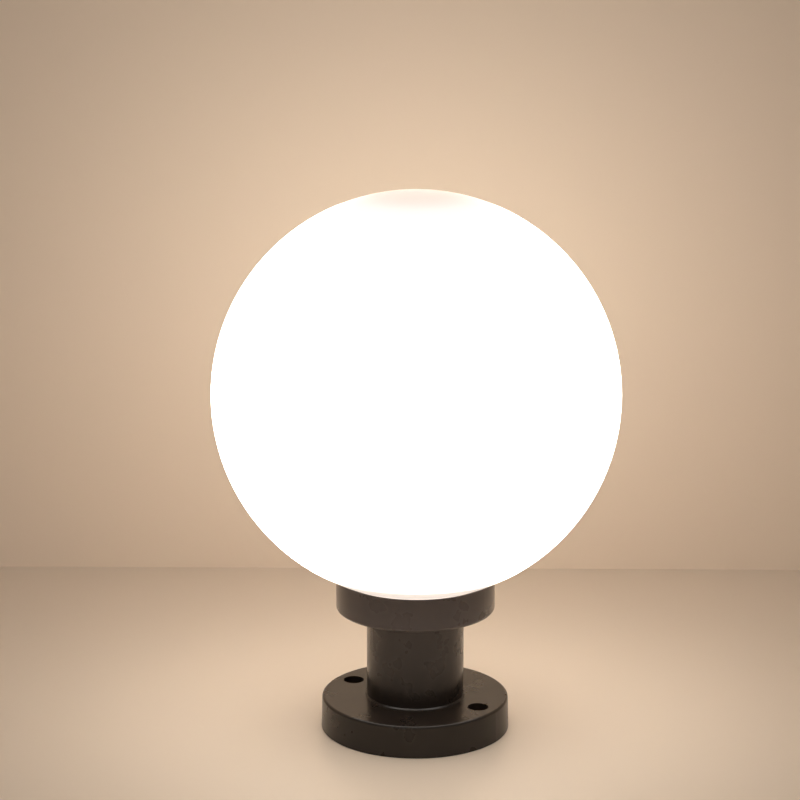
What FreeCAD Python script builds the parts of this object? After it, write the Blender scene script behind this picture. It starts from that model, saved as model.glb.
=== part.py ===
# Garden globe light: an opal globe screwed into a cup on a short column, with a flange that
# takes two screws. Millimetres, +Z up, origin at the centre of the face that the flange stands on.
# The two mounting screws lie on the X axis. Every separate piece is its own file in parts/.
import FreeCAD, Part
import math
import os

V = FreeCAD.Vector
Z = V(0, 0, 1)
TINY = 1e-7              # runs shorter than this are left out of an outline

# ---------------------------------------------------------------- outer form, from the photograph
GLOBE_R = 100.0          # outside radius of the globe
GLOBE_WALL = 2.5
CROWN_FLAT = 1.0         # radius of the tiny flat left by the mould at a dome's crown
BASE_R = 47.0            # mounting flange at its foot
BASE_H = 16.4
BASE_DRAFT = 0.45        # how much narrower the flange is at its top
BASE_EDGE = 1.3          # rounding of its top edge
BASE_FOOT_BREAK = 0.3    # bevel of its lower edge
BASE_WALL = 3.2
BASE_ROOF = 4.0          # thickness of the flange's top plate
ROOF_CORNER = 1.4        # bevel inside, where the roof meets the wall
INNER_DRAFT = 0.6        # how much narrower the hollow is at the roof
NECK_R = 24.2            # column
NECK_WALL = 2.4
NECK_H = 45.3            # length of the column that shows
CUP_R = 39.5             # cup that carries the globe
CUP_H = 16.9
CUP_EDGE = 1.6           # rounding of its lower edge
CUP_RIM_BREAK = 0.3      # bevel of its rim
CUP_CORNER = 1.0         # bevel inside, where the wall meets the floor
CUP_FLOOR = 3.2
CUP_WALL = 2.9
SEAT_GAP = 0.35          # between the cup's rim and the globe above it

# ---------------------------------------------------------------- joints between the shells
FOOT_SOCKET = 2.0        # how deep the column sits in the flange
HEAD_SOCKET = 1.5        # how deep it sits in the cup
FIT = 0.05               # clearance of pieces that are pushed together
FOOT_BEAD = 0.8          # width and height of the small bead round the column's foot
BEAD_LIP = 0.15          # upright lip of that bead

# ---------------------------------------------------------------- flange underside and mounting
SCREW_IN = 10.4          # mounting screws' axes in from the flange's foot
SCREW_R = 2.6
HEAD_WELL_R = 5.2        # well that the screw's head drops into
HEAD_WELL_FLOOR = 4.0    # plate left under the head, above the gasket
POST_R = 6.7
POST_FOOT_R = 5.0        # narrower foot of a post, passing through the gasket
POST_GAP = 0.2           # between that foot and the gasket
GASKET_H = 2.0
GASKET_W = 14.0
GASKET_GAP = 0.3
CHAMBER_GAP = 1.0        # between the terminal block's corners and the ring wall
RING_WALL = 2.0          # ring wall round the wiring chamber
RIB = 2.2
ROOT = 0.5               # how far a wall or boss is rooted in the one that it meets
RIB_ANGLES = (45, 90, 135, 225, 270, 315)

# ---------------------------------------------------------------- globe thread (right hand)
NECK_BORE_R = 32.1       # the bulb passes through it
MOUTH_GAP = 2.6          # between the globe's lower edge and the cup's floor
GLOBE_PITCH = 6.0
GLOBE_TURNS = 0.95
THREAD_DEPTH = 1.7
THREAD_CLEAR = 0.3
THREAD_HALF = 1.3        # half width of a ridge where it leaves its wall
THREAD_SINK = 0.6        # how deep a ridge is rooted in its wall
THREAD_CREST = 0.35      # width of a ridge's flat crest as a share of its root
THREAD_LEAD = 0.2        # plain wall before a ridge starts
SEAL_LEDGE = 2.2         # depth of the ledge that the seal lies on
SEAL_W = 1.5
SEAL_CLEAR = 0.12
SEAL_IN = 0.1            # seal's bore past the cup's bore

# ---------------------------------------------------------------- tie rod, hollow, M10 by 1
ROD_R = 5.0
ROD_BORE = 3.6
ROD_TAIL = 0.8           # rod past the lower nut
ROD_BEVEL = 0.5
NUT_AF = 14.0
NUT_LOW_H = 3.2
NUT_TOP_H = 4.0
NUT_BEVEL = 0.8          # height of the bevel that takes a nut's corners off
NUT_BEVEL_OUT = 1.4      # how far that bevel runs out past the flats
WASHER_R = 8.6
WASHER_H = 0.8
WASHER_TEETH = 12
TOOTH_DEEP = 1.6
TOOTH_NOTCH = 1.1        # width of the notch between two teeth
ROD_IN_HOLDER = 8.0

# ---------------------------------------------------------------- lampholder, E27
HOLDER_R = 19.8
HOLDER_NECK_R = 8.6
HOLDER_NECK_H = 7.0      # neck that grips the rod
HOLDER_NECK_ROOM = 7.0   # bore's radius above the neck
HOLDER_NECK_EDGE = 0.6   # bevel of the holder's foot
HOLDER_BELLY = 17.0      # height at which the cap has opened to its full width
HOLDER_BELLY_ROUND = 4.0
HOLDER_SHELF = 24.0      # height of the core's seat above the holder's foot
HOLDER_CAP_LIP = 4.0
HOLDER_WALL = 2.4
GRUB_R = 1.5
GRUB_UP = 3.5            # grub screw's axis above the holder's foot
GRUB_SLOT = 0.5
GRUB_SLOT_DEEP = 0.8
CORE_R = 15.2
CORE_H = 10.0
CORE_BREAK = 0.5         # bevel of the core's edges
CORE_LEDGE = 1.6         # width of the ledge that the core sits on
CORE_GAP = 0.2           # between the core and the skirt round it
SKIRT_R = 17.0
SKIRT_H = 26.0           # skirt above the core
SKIRT_STEP_LOW = 1.0     # heights above the core between which the skirt narrows
SKIRT_STEP_HIGH = 4.0
SKIRT_RIM_ROUND = 1.2
SKIRT_BREAK = 0.4        # bevel at its joint with the cap
SKIRT_SHELL_GAP = 0.45   # between the threaded shell and the skirt
SKIRT_DRAFT = 0.1
LAMP_PITCH = 3.629       # seven threads to the inch
LAMP_CREST_R = 13.1
LAMP_ROOT_R = 12.05
SHELL_ROOT_R = 13.35
SHELL_CREST_R = 12.3
SHELL_WALL = 0.4
SHELL_H = 22.6
LAMP_RIDGE_HALF = 1.05
SHELL_RIDGE_HALF = 0.9
SHELL_RIDGE_ROOT = 0.25  # how deep its ridge is rooted
SHELL_RIDGE_END = 0.8    # plain wall above its ridge
STRAP = 0.4              # thickness of the contact straps
STRAP_W = 4.0
STRAP_LEG_IN = 2.6       # upright leg of the side contact past the terminal's axis
STRAP_LAP = 0.3          # how far the side contact stops short of the shell's outside
STRAP_END = 3.0          # live strap past the plunger's axis
STRAP_SLOT_SIDE = 0.2    # clearance of its slot in the core
TERMINAL_X = 8.0
TERMINAL_W = 5.0
TERMINAL_H = 6.0
TERMINAL_FLOOR = 1.2     # brass left above a terminal's wire hole
TERMINAL_BORE = 1.3
TERMINAL_SCREW_R = 1.25
TERMINAL_HEAD_R = 2.0
TERMINAL_HEAD_H = 1.4
TERMINAL_SLOT = 0.5
TERMINAL_SLOT_DEEP = 0.7
GRIP_GAP = 0.1           # between a screw's end and the lead that it grips
PLUNGER_HEAD_R = 4.0
PLUNGER_HEAD_H = 1.3
PLUNGER_UP = 1.2         # how far the plunger stands above the core
PLUNGER_STEM_R = 1.5
PLUNGER_BOSS = 3.5       # core left under the plunger's spring
PLUNGER_GAP = 0.4        # round its head in the core's well
PLUNGER_STEM_GAP = 0.1
PLUNGER_ROUND = 0.5
SPRING_WIRE = 0.5
SPRING_R = 2.5
SPRING_TURNS = 5

# ---------------------------------------------------------------- bulb
LAMP_LENGTH = 112.0
LAMP_R = 30.0
LAMP_TIP_R = 4.5
LAMP_TIP_H = 1.2
LAMP_TIP_SLOPE = 1.5     # width of the tip's sloping edge
LAMP_TIP_EDGE = 0.3      # upright edge left above that slope
TIP_CLEAR = 0.1
INSULATOR_H = 3.6
INSULATOR_LEDGE = 1.2    # insulator round the tip
INSULATOR_RIM = 0.4      # upright rim below the threaded cap
INSULATOR_RIM_IN = 0.8
INSULATOR_PLUG = 1.4     # how far it reaches up into the cap
LAMP_CAP_H = 19.0
LAMP_CAP_SHEET = 0.4
LAMP_RIDGE_ROOT = 0.3
LAMP_RIDGE_END = 2.6     # plain sleeve above the ridge's last turn
LAMP_RIDGE_START = 0.3   # plain sleeve below its first turn
PLATE_DROP = 13.3        # LED plate below the middle of the dome
LAMP_SHELL = 1.4
HOUSING_PLUG = 10.0      # how far the housing plugs into the threaded cap
HOUSING_SHOULDER = 0.7   # shoulder that rests on the cap's rim
HOUSING_FLARE = 0.4      # how much wider the waist is at its top
HOUSING_WAIST = 6.0      # height of the waist
HOUSING_WAIST_IN = 7.0
HOUSING_BEND = 8.0       # rounding from waist to taper
PLATE_H = 1.6
PLATE_GAP = 0.3          # between the LED plate and the housing's wall
PLATE_LIP = 0.8          # thickness of the lip on the housing's rim
PLATE_LIP_IN = 0.2
PLATE_LAP = 0.5
PLATE_HOLE_X = 6.0       # the two wire holes
PLATE_HOLE_R = 1.2
DOME_GAP = 0.1           # between the lip and the dome
CHIPS = 12
CHIP_RING_R = 17.0
CHIP_W = 2.8
CHIP_L = 3.5
CHIP_H = 0.8
CHIP_PAIR_Y = 3.5        # the two chips in the middle
BOARD_W = 18.0           # driver board
BOARD_T = 1.2
BOARD_TAB_W = 8.0        # narrow end that reaches the LED plate
BOARD_TAB_H = 4.0
BOARD_FOOT = 4.0         # board below the threaded cap's top
CAPACITOR_R = 4.0
CAPACITOR_H = 12.0
CAPACITOR_UP = 14.0      # its foot above the threaded cap's top
CAPACITOR_GAP = 0.4
GLUE_W = 4.0             # bead of glue behind the capacitor
GLUE_H = 8.0
GLUE_UP = 16.0
CHOKE_W = 10.0
CHOKE_DEEP = 6.4
CHOKE_H = 9.0
CHOKE_UP = 18.0
BRIDGE_W = 6.0
BRIDGE_DEEP = 2.0
BRIDGE_H = 5.0
BRIDGE_UP = 3.0
RESISTOR_R = 1.5
RESISTOR_H = 9.0

# ---------------------------------------------------------------- wiring in the base
LEAD_R = 1.0
LEAD_X = 1.25            # leads either side of the rod's axis
LEAD_FIT = 0.1           # hole round a lead
LEAD_IN = 4.0            # lead's end past the terminal block's face
LEAD_OUT = 1.5           # straight run outside that face
LEAD_TURN_Y = 6.5        # where a lead turns in under the rod
LEAD_TURN_DROP = 3.0
LEAD_ENTRY_DROP = 4.6
LEAD_FAN = 2.4           # straight run below a lampholder terminal
LEAD_GRIP = 3.0          # lead's end inside that terminal
BLOCK_END = 3.7          # terminal block past its outer poles' axes
BLOCK_Y = 14.0
BLOCK_Y0 = 12.0          # near face of the terminal block
POLE = 8.0               # spacing of its poles
POLE_R = 2.4
POLE_BORE = 1.5
POLE_DEEP = 4.0          # pole axis below the roof
BLOCK_UNDER = 3.0        # block below its poles' axes
TURRET_R = 3.0
TURRET_BORE = 1.9
TURRET_H = 10.4          # a turret's end below the roof
TURRET_IN = 3.4          # turrets' axes in from the block's long faces
TUBE_IN = 1.0            # brass tube's end in from the block's face
TUBE_BORE = 1.4          # hole for a clamp screw
CLAMP_SCREW_R = 1.35
BLOCK_SCREW_DOWN = 8.4   # clamp screw's outer end below the roof
BLOCK_SLOT = 0.5
BLOCK_SLOT_DEEP = 0.6
FIXING_R = 1.25
FIXING_FIT = 0.05
FIXING_HEAD_R = 1.6
FIXING_HEAD_H = 1.4
FIXING_IN = 2.4          # fixing screw's end in the flange's roof
EARTH_X = 17.6
EARTH_Y = -4.0
EARTH_SCREW_R = 2.0
EARTH_HEAD_R = 3.6
EARTH_HEAD_H = 2.2
EARTH_IN = 2.4
EARTH_FIT = 0.05
EARTH_WASHER_R = 3.9
EARTH_SHEET = 0.8        # thickness of the ring terminal and of the washer
EARTH_RING_R = 3.4
EARTH_TONGUE_W = 3.0
EARTH_TONGUE_L = 5.6
BARREL_R = 1.6
BARREL_DROP = 1.9        # crimped barrel's axis below the roof
BARREL_Y0 = 4.6          # barrel's ends from the screw's axis
BARREL_Y1 = 8.2
EARTH_LEAD_END = 5.4     # lead's end from the screw's axis
EARTH_LEAD_OUT = 3.0
EARTH_LEAD_TURN = 4.0
CLAMP_Y = -19.0
CLAMP_SCREW_X = 8.5
CLAMP_BOSS_R = 3.2
CLAMP_BOSS_H = 4.4
CLAMP_BORE_R = 1.75
CLAMP_THREAD_R = 1.7
CLAMP_SCREW_IN = 1.4
CLAMP_HEAD_R = 3.0
CLAMP_HEAD_H = 2.0
CLAMP_HOLE_R = 1.8
CLAMP_T = 2.0            # thickness of the clamp bar
CLAMP_W = 8.0
CLAMP_EAR = 3.6          # bar past its screws' axes
CLAMP_BOW = 1.6          # depth of its bow
CLAMP_BOW_R = 1.0        # rounding of the bow
CLAMP_BOW_OUT = (5.0, 3.6)   # half widths of the bow below, at its mouth and its foot
CLAMP_BOW_IN = (4.4, 3.0)    # and above
CROSS_ARM = 0.7          # cross slot of a pan screw, as shares of its head
CROSS_WIDE = 0.22
CROSS_DEEP = 0.5
CUT_PAST = 1.0           # how far a cutting shape runs past what it cuts

# ---------------------------------------------------------------- sizes and heights that follow
SCREW_X = BASE_R - SCREW_IN
GASKET_R = BASE_R - BASE_WALL - GASKET_GAP
GASKET_IN_R = GASKET_R - GASKET_W
BLOCK_X = 2 * (POLE + BLOCK_END)
CHAMBER_R = math.hypot(BLOCK_X / 2, BLOCK_Y0 + BLOCK_Y) + CHAMBER_GAP
ROOF_Z = BASE_H - BASE_ROOF
CUP_Z = BASE_H + NECK_H
CUP_FLOOR_Z = CUP_Z + CUP_FLOOR
RIM_Z = CUP_Z + CUP_H
GLOBE_Z = RIM_Z + SEAT_GAP + math.sqrt(GLOBE_R ** 2 - CUP_R ** 2)
CUP_BORE_R = CUP_R - CUP_WALL
NECK_CREST_R = CUP_BORE_R - THREAD_CLEAR
NECK_ROOT_R = NECK_CREST_R - THREAD_DEPTH
CUP_CREST_R = CUP_BORE_R - THREAD_DEPTH
MOUTH_Z = CUP_FLOOR_Z + MOUTH_GAP
THREAD_Z = MOUTH_Z + THREAD_HALF + THREAD_LEAD
LEDGE_Z = RIM_Z - SEAL_LEDGE
HOLDER_Z = CUP_FLOOR_Z + WASHER_H + NUT_TOP_H
CORE_Z = HOLDER_Z + HOLDER_SHELF
CORE_TOP = CORE_Z + CORE_H
SKIRT_TOP = CORE_TOP + SKIRT_H
SHELL_Z = CORE_TOP + STRAP
TIP_Z = CORE_TOP + PLUNGER_UP + TIP_CLEAR
LAMP_CAP_Z = TIP_Z + INSULATOR_H
LAMP_CAP_TOP = LAMP_CAP_Z + LAMP_CAP_H
LAMP_BALL_Z = TIP_Z + LAMP_LENGTH - LAMP_R
PLATE_Z = LAMP_BALL_Z - PLATE_DROP
HOUSING_RIM_R = math.sqrt(LAMP_R ** 2 - PLATE_DROP ** 2)
LAMP_PLUG_R = LAMP_ROOT_R - LAMP_CAP_SHEET - FIT
ROD_LOW = ROOF_Z - WASHER_H - NUT_LOW_H - ROD_TAIL
POLE_Z = ROOF_Z - POLE_DEEP
TURRET_Y = (BLOCK_Y0 + TURRET_IN, BLOCK_Y0 + BLOCK_Y - TURRET_IN)
POLE_X = (-POLE, 0, POLE)
FIXING_Y = BLOCK_Y0 + BLOCK_Y / 2
BOSS_Z = ROOF_Z - CLAMP_BOSS_H
SHELL_RIDGE_Z = SHELL_Z + SHELL_RIDGE_HALF + THREAD_LEAD


# ================================================================ helpers
def rounded(corners):
    """Closed wire in the XZ plane. A corner is (r, z) or (r, z, rounding)."""
    pts = [V(c[0], 0, c[1]) for c in corners]
    edges, joints = [], []
    for i, p in enumerate(pts):
        radius = corners[i][2] if len(corners[i]) > 2 else 0
        if not radius:
            joints.append((p, p))
            continue
        a = (pts[i - 1] - p).normalize()
        b = (pts[(i + 1) % len(pts)] - p).normalize()
        half = a.getAngle(b) / 2
        back = radius / math.tan(half)
        centre = p + (a + b).normalize() * (radius / math.sin(half))
        middle = centre + (p - centre).normalize() * radius
        start, end = p + a * back, p + b * back
        joints.append((start, end))
        edges.append((i, Part.Arc(start, middle, end).toShape()))
    arcs = dict(edges)
    loop = []
    for i in range(len(pts)):
        if i in arcs:
            loop.append(arcs[i])
        start, end = joints[i][1], joints[(i + 1) % len(pts)][0]
        if (end - start).Length > TINY:
            loop.append(Part.makeLine(start, end))
    return Part.Wire(loop)


def turned(corners):
    """Solid of revolution about Z from a rounded outline."""
    return turned_wire(rounded(corners))


def turned_wire(wire):
    return Part.Face(wire).revolve(V(0, 0, 0), Z, 360)


def rod(r, z0, z1, x=0.0, y=0.0):
    return Part.makeCylinder(r, z1 - z0, V(x, y, z0), Z)


def rod_y(r, y0, y1, x, z):
    return Part.makeCylinder(r, y1 - y0, V(x, y0, z), V(0, 1, 0))


def tube(r_out, r_in, z0, z1, x=0.0, y=0.0):
    return rod(r_out, z0, z1, x, y).cut(rod(r_in, z0 - CUT_PAST, z1 + CUT_PAST, x, y))


def block(x0, x1, y0, y1, z0, z1):
    return Part.makeBox(x1 - x0, y1 - y0, z1 - z0, V(x0, y0, z0))


def hexagon(across, z0, z1, x=0.0, y=0.0):
    """Hexagonal prism with two of its flats facing +X and -X."""
    r = across / math.sqrt(3)
    pts = [V(x + r * math.sin(math.radians(60 * k)), y + r * math.cos(math.radians(60 * k)), z0)
           for k in range(7)]
    return Part.Face(Part.makePolygon(pts)).extrude(V(0, 0, z1 - z0))


def helix_ridge(wall_r, crest_r, half, pitch, turns, z0, angle):
    """Thread ridge with straight flanks, rooted at wall_r and reaching crest_r."""
    flat = half * THREAD_CREST
    outline = [(wall_r, -half), (crest_r, -flat), (crest_r, flat), (wall_r, half), (wall_r, -half)]
    profile = Part.Wire(Part.makePolygon([V(r, 0, z) for r, z in outline]))
    path = Part.Wire(Part.makeHelix(pitch, pitch * turns, wall_r))
    ridge = path.makePipeShell([profile], True, True)
    ridge.rotate(V(0, 0, 0), Z, angle)
    ridge.translate(V(0, 0, z0))
    return ridge


def lead(route, radius):
    """Round wire along straight runs joined by arcs as large as the runs allow."""
    pts = [V(*p) for p in route]
    edges, at = [], pts[0]
    for before, p, after in zip(pts, pts[1:], pts[2:]):
        a, b = (before - p), (after - p)
        shorter = min(a.Length, b.Length)
        a.normalize()
        b.normalize()
        half = a.getAngle(b) / 2
        reach = 0.45 * shorter
        bend = reach * math.tan(half)
        centre = p + (a + b).normalize() * (bend / math.sin(half))
        start, end = p + a * reach, p + b * reach
        middle = centre + (p - centre).normalize() * bend
        edges += [Part.makeLine(at, start), Part.Arc(start, middle, end).toShape()]
        at = end
    edges.append(Part.makeLine(at, pts[-1]))
    path = Part.Wire(edges)
    section = Part.Wire(Part.makeCircle(radius, pts[0], (pts[1] - pts[0])))
    return path.makePipeShell([section], True, False)


def fuse(first, *others):
    whole = first
    for other in others:
        whole = whole.fuse(other)
    return whole.removeSplitter()


def pan_screw(head_r, head_h, shank_r, z_head, z_end, x, y):
    """Screw with its head below, driven upwards from z_head, with a cross slot."""
    head = rod(head_r, z_head - head_h, z_head, x, y)
    shank = rod(shank_r, z_head, z_end, x, y)
    arm, wide, deep = head_r * CROSS_ARM, head_r * CROSS_WIDE, head_h * CROSS_DEEP
    low = z_head - head_h
    cross = block(x - arm, x + arm, y - wide, y + wide, low - CUT_PAST, low + deep)
    cross = cross.fuse(block(x - wide, x + wide, y - arm, y + arm, low - CUT_PAST, low + deep))
    return head.fuse(shank).cut(cross)


def globe_underside(r):
    """Height of the globe's outside at radius r, below its middle."""
    return GLOBE_Z - math.sqrt(GLOBE_R ** 2 - r ** 2)


# ================================================================ the shells that show
def dome_arc(radius, z0, start_r):
    """Arc of a dome in the XZ plane, from start_r below its middle to the flat at its crown."""
    low = V(start_r, 0, z0 - math.sqrt(radius ** 2 - start_r ** 2))
    top = V(CROWN_FLAT, 0, z0 + math.sqrt(radius ** 2 - CROWN_FLAT ** 2))
    return low, top, Part.Arc(low, V(radius, 0, z0), top).toShape()


def dome_shell(radius, wall, z0, start_out, start_in, foot):
    """Hollow dome about Z. foot holds the corners from its inner to its outer start."""
    low_out, top_out, outer = dome_arc(radius, z0, start_out)
    low_in, top_in, inner = dome_arc(radius - wall, z0, start_in)
    crown_out, crown_in = V(0, 0, top_out.z), V(0, 0, top_in.z)
    runs = [low_in, *foot, low_out]
    edges = [outer, Part.makeLine(top_out, crown_out), Part.makeLine(crown_out, crown_in),
             Part.makeLine(crown_in, top_in), inner]
    edges += [Part.makeLine(p, q) for p, q in zip(runs, runs[1:])]
    return turned_wire(Part.Wire(edges))


def globe():
    """Opal globe, one blown shell with a threaded neck."""
    lip = [V(NECK_BORE_R, 0, MOUTH_Z), V(NECK_ROOT_R, 0, MOUTH_Z)]
    shell = dome_shell(GLOBE_R, GLOBE_WALL, GLOBE_Z, NECK_ROOT_R, NECK_BORE_R, lip)
    ridge = helix_ridge(NECK_ROOT_R - THREAD_SINK, NECK_CREST_R, THREAD_HALF, GLOBE_PITCH,
                        GLOBE_TURNS, THREAD_Z, 180)
    return fuse(shell, ridge)


def globe_seal():
    """Silicone ring on the cup's ledge, under the globe's shoulder."""
    r_out = CUP_BORE_R + SEAL_W
    r_in = CUP_BORE_R + SEAL_IN
    return turned([(r_in, LEDGE_Z + FIT), (r_out, LEDGE_Z + FIT),
                   (r_out, globe_underside(r_out) - SEAL_CLEAR),
                   (r_in, globe_underside(r_in) - SEAL_CLEAR)])


def socket(z0, z1):
    """Ring-shaped groove that an end of the column sits in."""
    return tube(NECK_R + FIT, NECK_R - NECK_WALL - FIT, z0, z1)


def fitter_cup():
    """Cup with an internal thread, a seal ledge, and a socket for the column under its floor."""
    ledge_r = CUP_BORE_R + SEAL_W + FIT
    cup = turned([
        (ROD_R + FIT, CUP_Z), (CUP_R, CUP_Z, CUP_EDGE), (CUP_R, RIM_Z - CUP_RIM_BREAK),
        (CUP_R - CUP_RIM_BREAK, RIM_Z), (ledge_r, globe_underside(ledge_r) - SEAT_GAP),
        (ledge_r, LEDGE_Z), (CUP_BORE_R, LEDGE_Z), (CUP_BORE_R, CUP_FLOOR_Z + CUP_CORNER),
        (CUP_BORE_R - CUP_CORNER, CUP_FLOOR_Z), (ROD_R + FIT, CUP_FLOOR_Z),
    ])
    cup = cup.cut(socket(CUP_Z - CUT_PAST, CUP_Z + HEAD_SOCKET))
    ridge = helix_ridge(CUP_BORE_R + THREAD_SINK, CUP_CREST_R, THREAD_HALF, GLOBE_PITCH,
                        GLOBE_TURNS, THREAD_Z, 0)
    return fuse(cup, ridge)


def neck_tube():
    """Column between the flange and the cup."""
    low, high = BASE_H - FOOT_SOCKET, CUP_Z + HEAD_SOCKET
    inner = NECK_R - NECK_WALL
    return turned([(inner, low), (NECK_R, low), (NECK_R, high), (inner, high)])


def flange_shell():
    """Turned body of the flange, with the small bead round the column."""
    top_r = BASE_R - BASE_DRAFT
    inner = BASE_R - BASE_WALL
    roof_r = inner - INNER_DRAFT
    bead_r = NECK_R + FOOT_BEAD + FIT
    return turned([
        (ROD_R + FIT, ROOF_Z), (roof_r - ROOF_CORNER, ROOF_Z), (roof_r, ROOF_Z - ROOF_CORNER),
        (inner, 0), (BASE_R - BASE_FOOT_BREAK, 0), (BASE_R, BASE_FOOT_BREAK),
        (top_r, BASE_H, BASE_EDGE), (bead_r, BASE_H), (bead_r, BASE_H + BEAD_LIP),
        (NECK_R + FIT + BEAD_LIP, BASE_H + FOOT_BEAD), (NECK_R + FIT, BASE_H + FOOT_BEAD),
        (NECK_R + FIT, BASE_H), (ROD_R + FIT, BASE_H),
    ])


def flange_ribs():
    """Ring wall round the wiring chamber, and the ribs from it to the rim."""
    rib_end = BASE_R - BASE_WALL - ROOT
    pieces = [tube(CHAMBER_R + RING_WALL, CHAMBER_R, GASKET_H, ROOF_Z + ROOT)]
    for angle in RIB_ANGLES:
        rib = block(CHAMBER_R + ROOT, rib_end, -RIB / 2, RIB / 2, GASKET_H, ROOF_Z + ROOT)
        rib.rotate(V(0, 0, 0), Z, angle)
        pieces.append(rib)
    return pieces


def base_flange():
    """Round flange: hollow below, with two screw posts, a ring wall, ribs and bosses."""
    pieces = flange_ribs()
    cuts = [socket(BASE_H - FOOT_SOCKET, BASE_H + CUT_PAST)]
    for side in (-1, 1):
        post_x, boss_x = side * SCREW_X, side * CLAMP_SCREW_X
        pieces.append(rod(POST_R, GASKET_H, ROOF_Z + ROOT, post_x))
        pieces.append(rod(POST_FOOT_R, 0, GASKET_H + ROOT, post_x))
        pieces.append(rod(CLAMP_BOSS_R, BOSS_Z, ROOF_Z + ROOT, boss_x, CLAMP_Y))
        cuts.append(rod(SCREW_R, -CUT_PAST, BASE_H + CUT_PAST, post_x))
        cuts.append(rod(HEAD_WELL_R, GASKET_H + HEAD_WELL_FLOOR, BASE_H + CUT_PAST, post_x))
        cuts.append(rod(CLAMP_BORE_R, BOSS_Z - CUT_PAST, ROOF_Z + CLAMP_SCREW_IN + EARTH_FIT,
                        boss_x, CLAMP_Y))
    cuts.append(rod(EARTH_SCREW_R + EARTH_FIT, ROOF_Z - CUT_PAST, ROOF_Z + EARTH_IN + EARTH_FIT,
                    EARTH_X, EARTH_Y))
    cuts.append(rod(FIXING_R + FIXING_FIT, ROOF_Z - CUT_PAST, ROOF_Z + FIXING_IN + FIXING_FIT,
                    POLE / 2, FIXING_Y))
    flange = fuse(flange_shell(), *pieces)
    for shape in cuts:
        flange = flange.cut(shape)
    return flange.removeSplitter()


def base_gasket():
    """Foam ring under the flange, flush with its rim."""
    ring = tube(GASKET_R, GASKET_IN_R, 0, GASKET_H)
    for side in (-1, 1):
        ring = ring.cut(rod(POST_FOOT_R + POST_GAP, -CUT_PAST, GASKET_H + CUT_PAST, side * SCREW_X))
    return ring


# ================================================================ tie rod
def tie_rod():
    """Hollow rod that clamps flange, column and cup, and carries the lampholder."""
    top = HOLDER_Z + ROD_IN_HOLDER
    end_r = ROD_R - ROD_BEVEL
    return turned([(ROD_BORE, ROD_LOW), (end_r, ROD_LOW), (ROD_R, ROD_LOW + ROD_BEVEL),
                   (ROD_R, top - ROD_BEVEL), (end_r, top), (ROD_BORE, top)])


def rod_nut(z0, height):
    """Thin hexagon nut with its corners bevelled at both ends."""
    z1 = z0 + height
    flat_r, corner_r = NUT_AF / 2, NUT_AF / 2 + NUT_BEVEL_OUT
    bevelled = turned([(0, z0), (flat_r, z0), (corner_r, z0 + NUT_BEVEL),
                       (corner_r, z1 - NUT_BEVEL), (flat_r, z1), (0, z1)])
    nut = hexagon(NUT_AF, z0, z1).common(bevelled)
    return nut.cut(rod(ROD_R + FIT, z0 - CUT_PAST, z1 + CUT_PAST))


def lock_washer(z0):
    """Washer with serrated teeth round its edge."""
    z1 = z0 + WASHER_H
    washer = tube(WASHER_R, ROD_R + FIT, z0, z1)
    for k in range(WASHER_TEETH):
        notch = block(WASHER_R - TOOTH_DEEP, WASHER_R + CUT_PAST, -TOOTH_NOTCH / 2,
                      TOOTH_NOTCH / 2, z0 - CUT_PAST, z1 + CUT_PAST)
        notch.rotate(V(0, 0, 0), Z, (k + 0.5) * 360 / WASHER_TEETH)
        washer = washer.cut(notch)
    return washer


# ================================================================ lampholder
def holder_cap():
    """Lower half of the lampholder, screwed on to the rod."""
    lip = CORE_Z + HOLDER_CAP_LIP
    knee = HOLDER_Z + HOLDER_NECK_H
    belly = HOLDER_Z + HOLDER_BELLY
    ledge_r = CORE_R - CORE_LEDGE
    room_z = knee + CUT_PAST
    cap = turned([
        (ROD_R + FIT, HOLDER_Z), (HOLDER_NECK_R - HOLDER_NECK_EDGE, HOLDER_Z),
        (HOLDER_NECK_R, HOLDER_Z + HOLDER_NECK_EDGE), (HOLDER_NECK_R, knee),
        (HOLDER_R, belly, HOLDER_BELLY_ROUND), (HOLDER_R, lip), (HOLDER_R - HOLDER_WALL, lip),
        (HOLDER_R - HOLDER_WALL, CORE_Z), (ledge_r, CORE_Z), (ledge_r, belly),
        (HOLDER_NECK_ROOM, room_z), (ROD_R + FIT, room_z),
    ])
    hole = Part.makeCylinder(GRUB_R + FIT, HOLDER_NECK_R, V(0, 0, HOLDER_Z + GRUB_UP), V(1, 0, 0))
    return cap.cut(hole)


def holder_grub_screw():
    """Grub screw that stops the lampholder turning on the rod."""
    start = ROD_R + FIT
    z = HOLDER_Z + GRUB_UP
    grub = Part.makeCylinder(GRUB_R, HOLDER_NECK_R - start, V(start, 0, z), V(1, 0, 0))
    slot = block(HOLDER_NECK_R - GRUB_SLOT_DEEP, HOLDER_NECK_R + CUT_PAST, -GRUB_SLOT / 2,
                 GRUB_SLOT / 2, z - 2 * GRUB_R, z + 2 * GRUB_R)
    return grub.cut(slot)


def holder_skirt():
    """Upper half of the lampholder, round the core and the threaded shell."""
    low = CORE_Z + FIT
    lip = CORE_Z + HOLDER_CAP_LIP + FIT
    spigot = HOLDER_R - HOLDER_WALL - FIT
    inner = CORE_R + CORE_GAP
    bore = SHELL_ROOT_R + SHELL_WALL + SKIRT_SHELL_GAP
    return turned([
        (inner, low), (spigot, low), (spigot, lip), (HOLDER_R - SKIRT_BREAK, lip),
        (HOLDER_R, lip + SKIRT_BREAK), (HOLDER_R, CORE_TOP + SKIRT_STEP_LOW),
        (SKIRT_R, CORE_TOP + SKIRT_STEP_HIGH), (SKIRT_R, SKIRT_TOP, SKIRT_RIM_ROUND),
        (bore + SKIRT_DRAFT, SKIRT_TOP), (bore, CORE_TOP + FIT), (inner, CORE_TOP + FIT),
    ])


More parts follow.
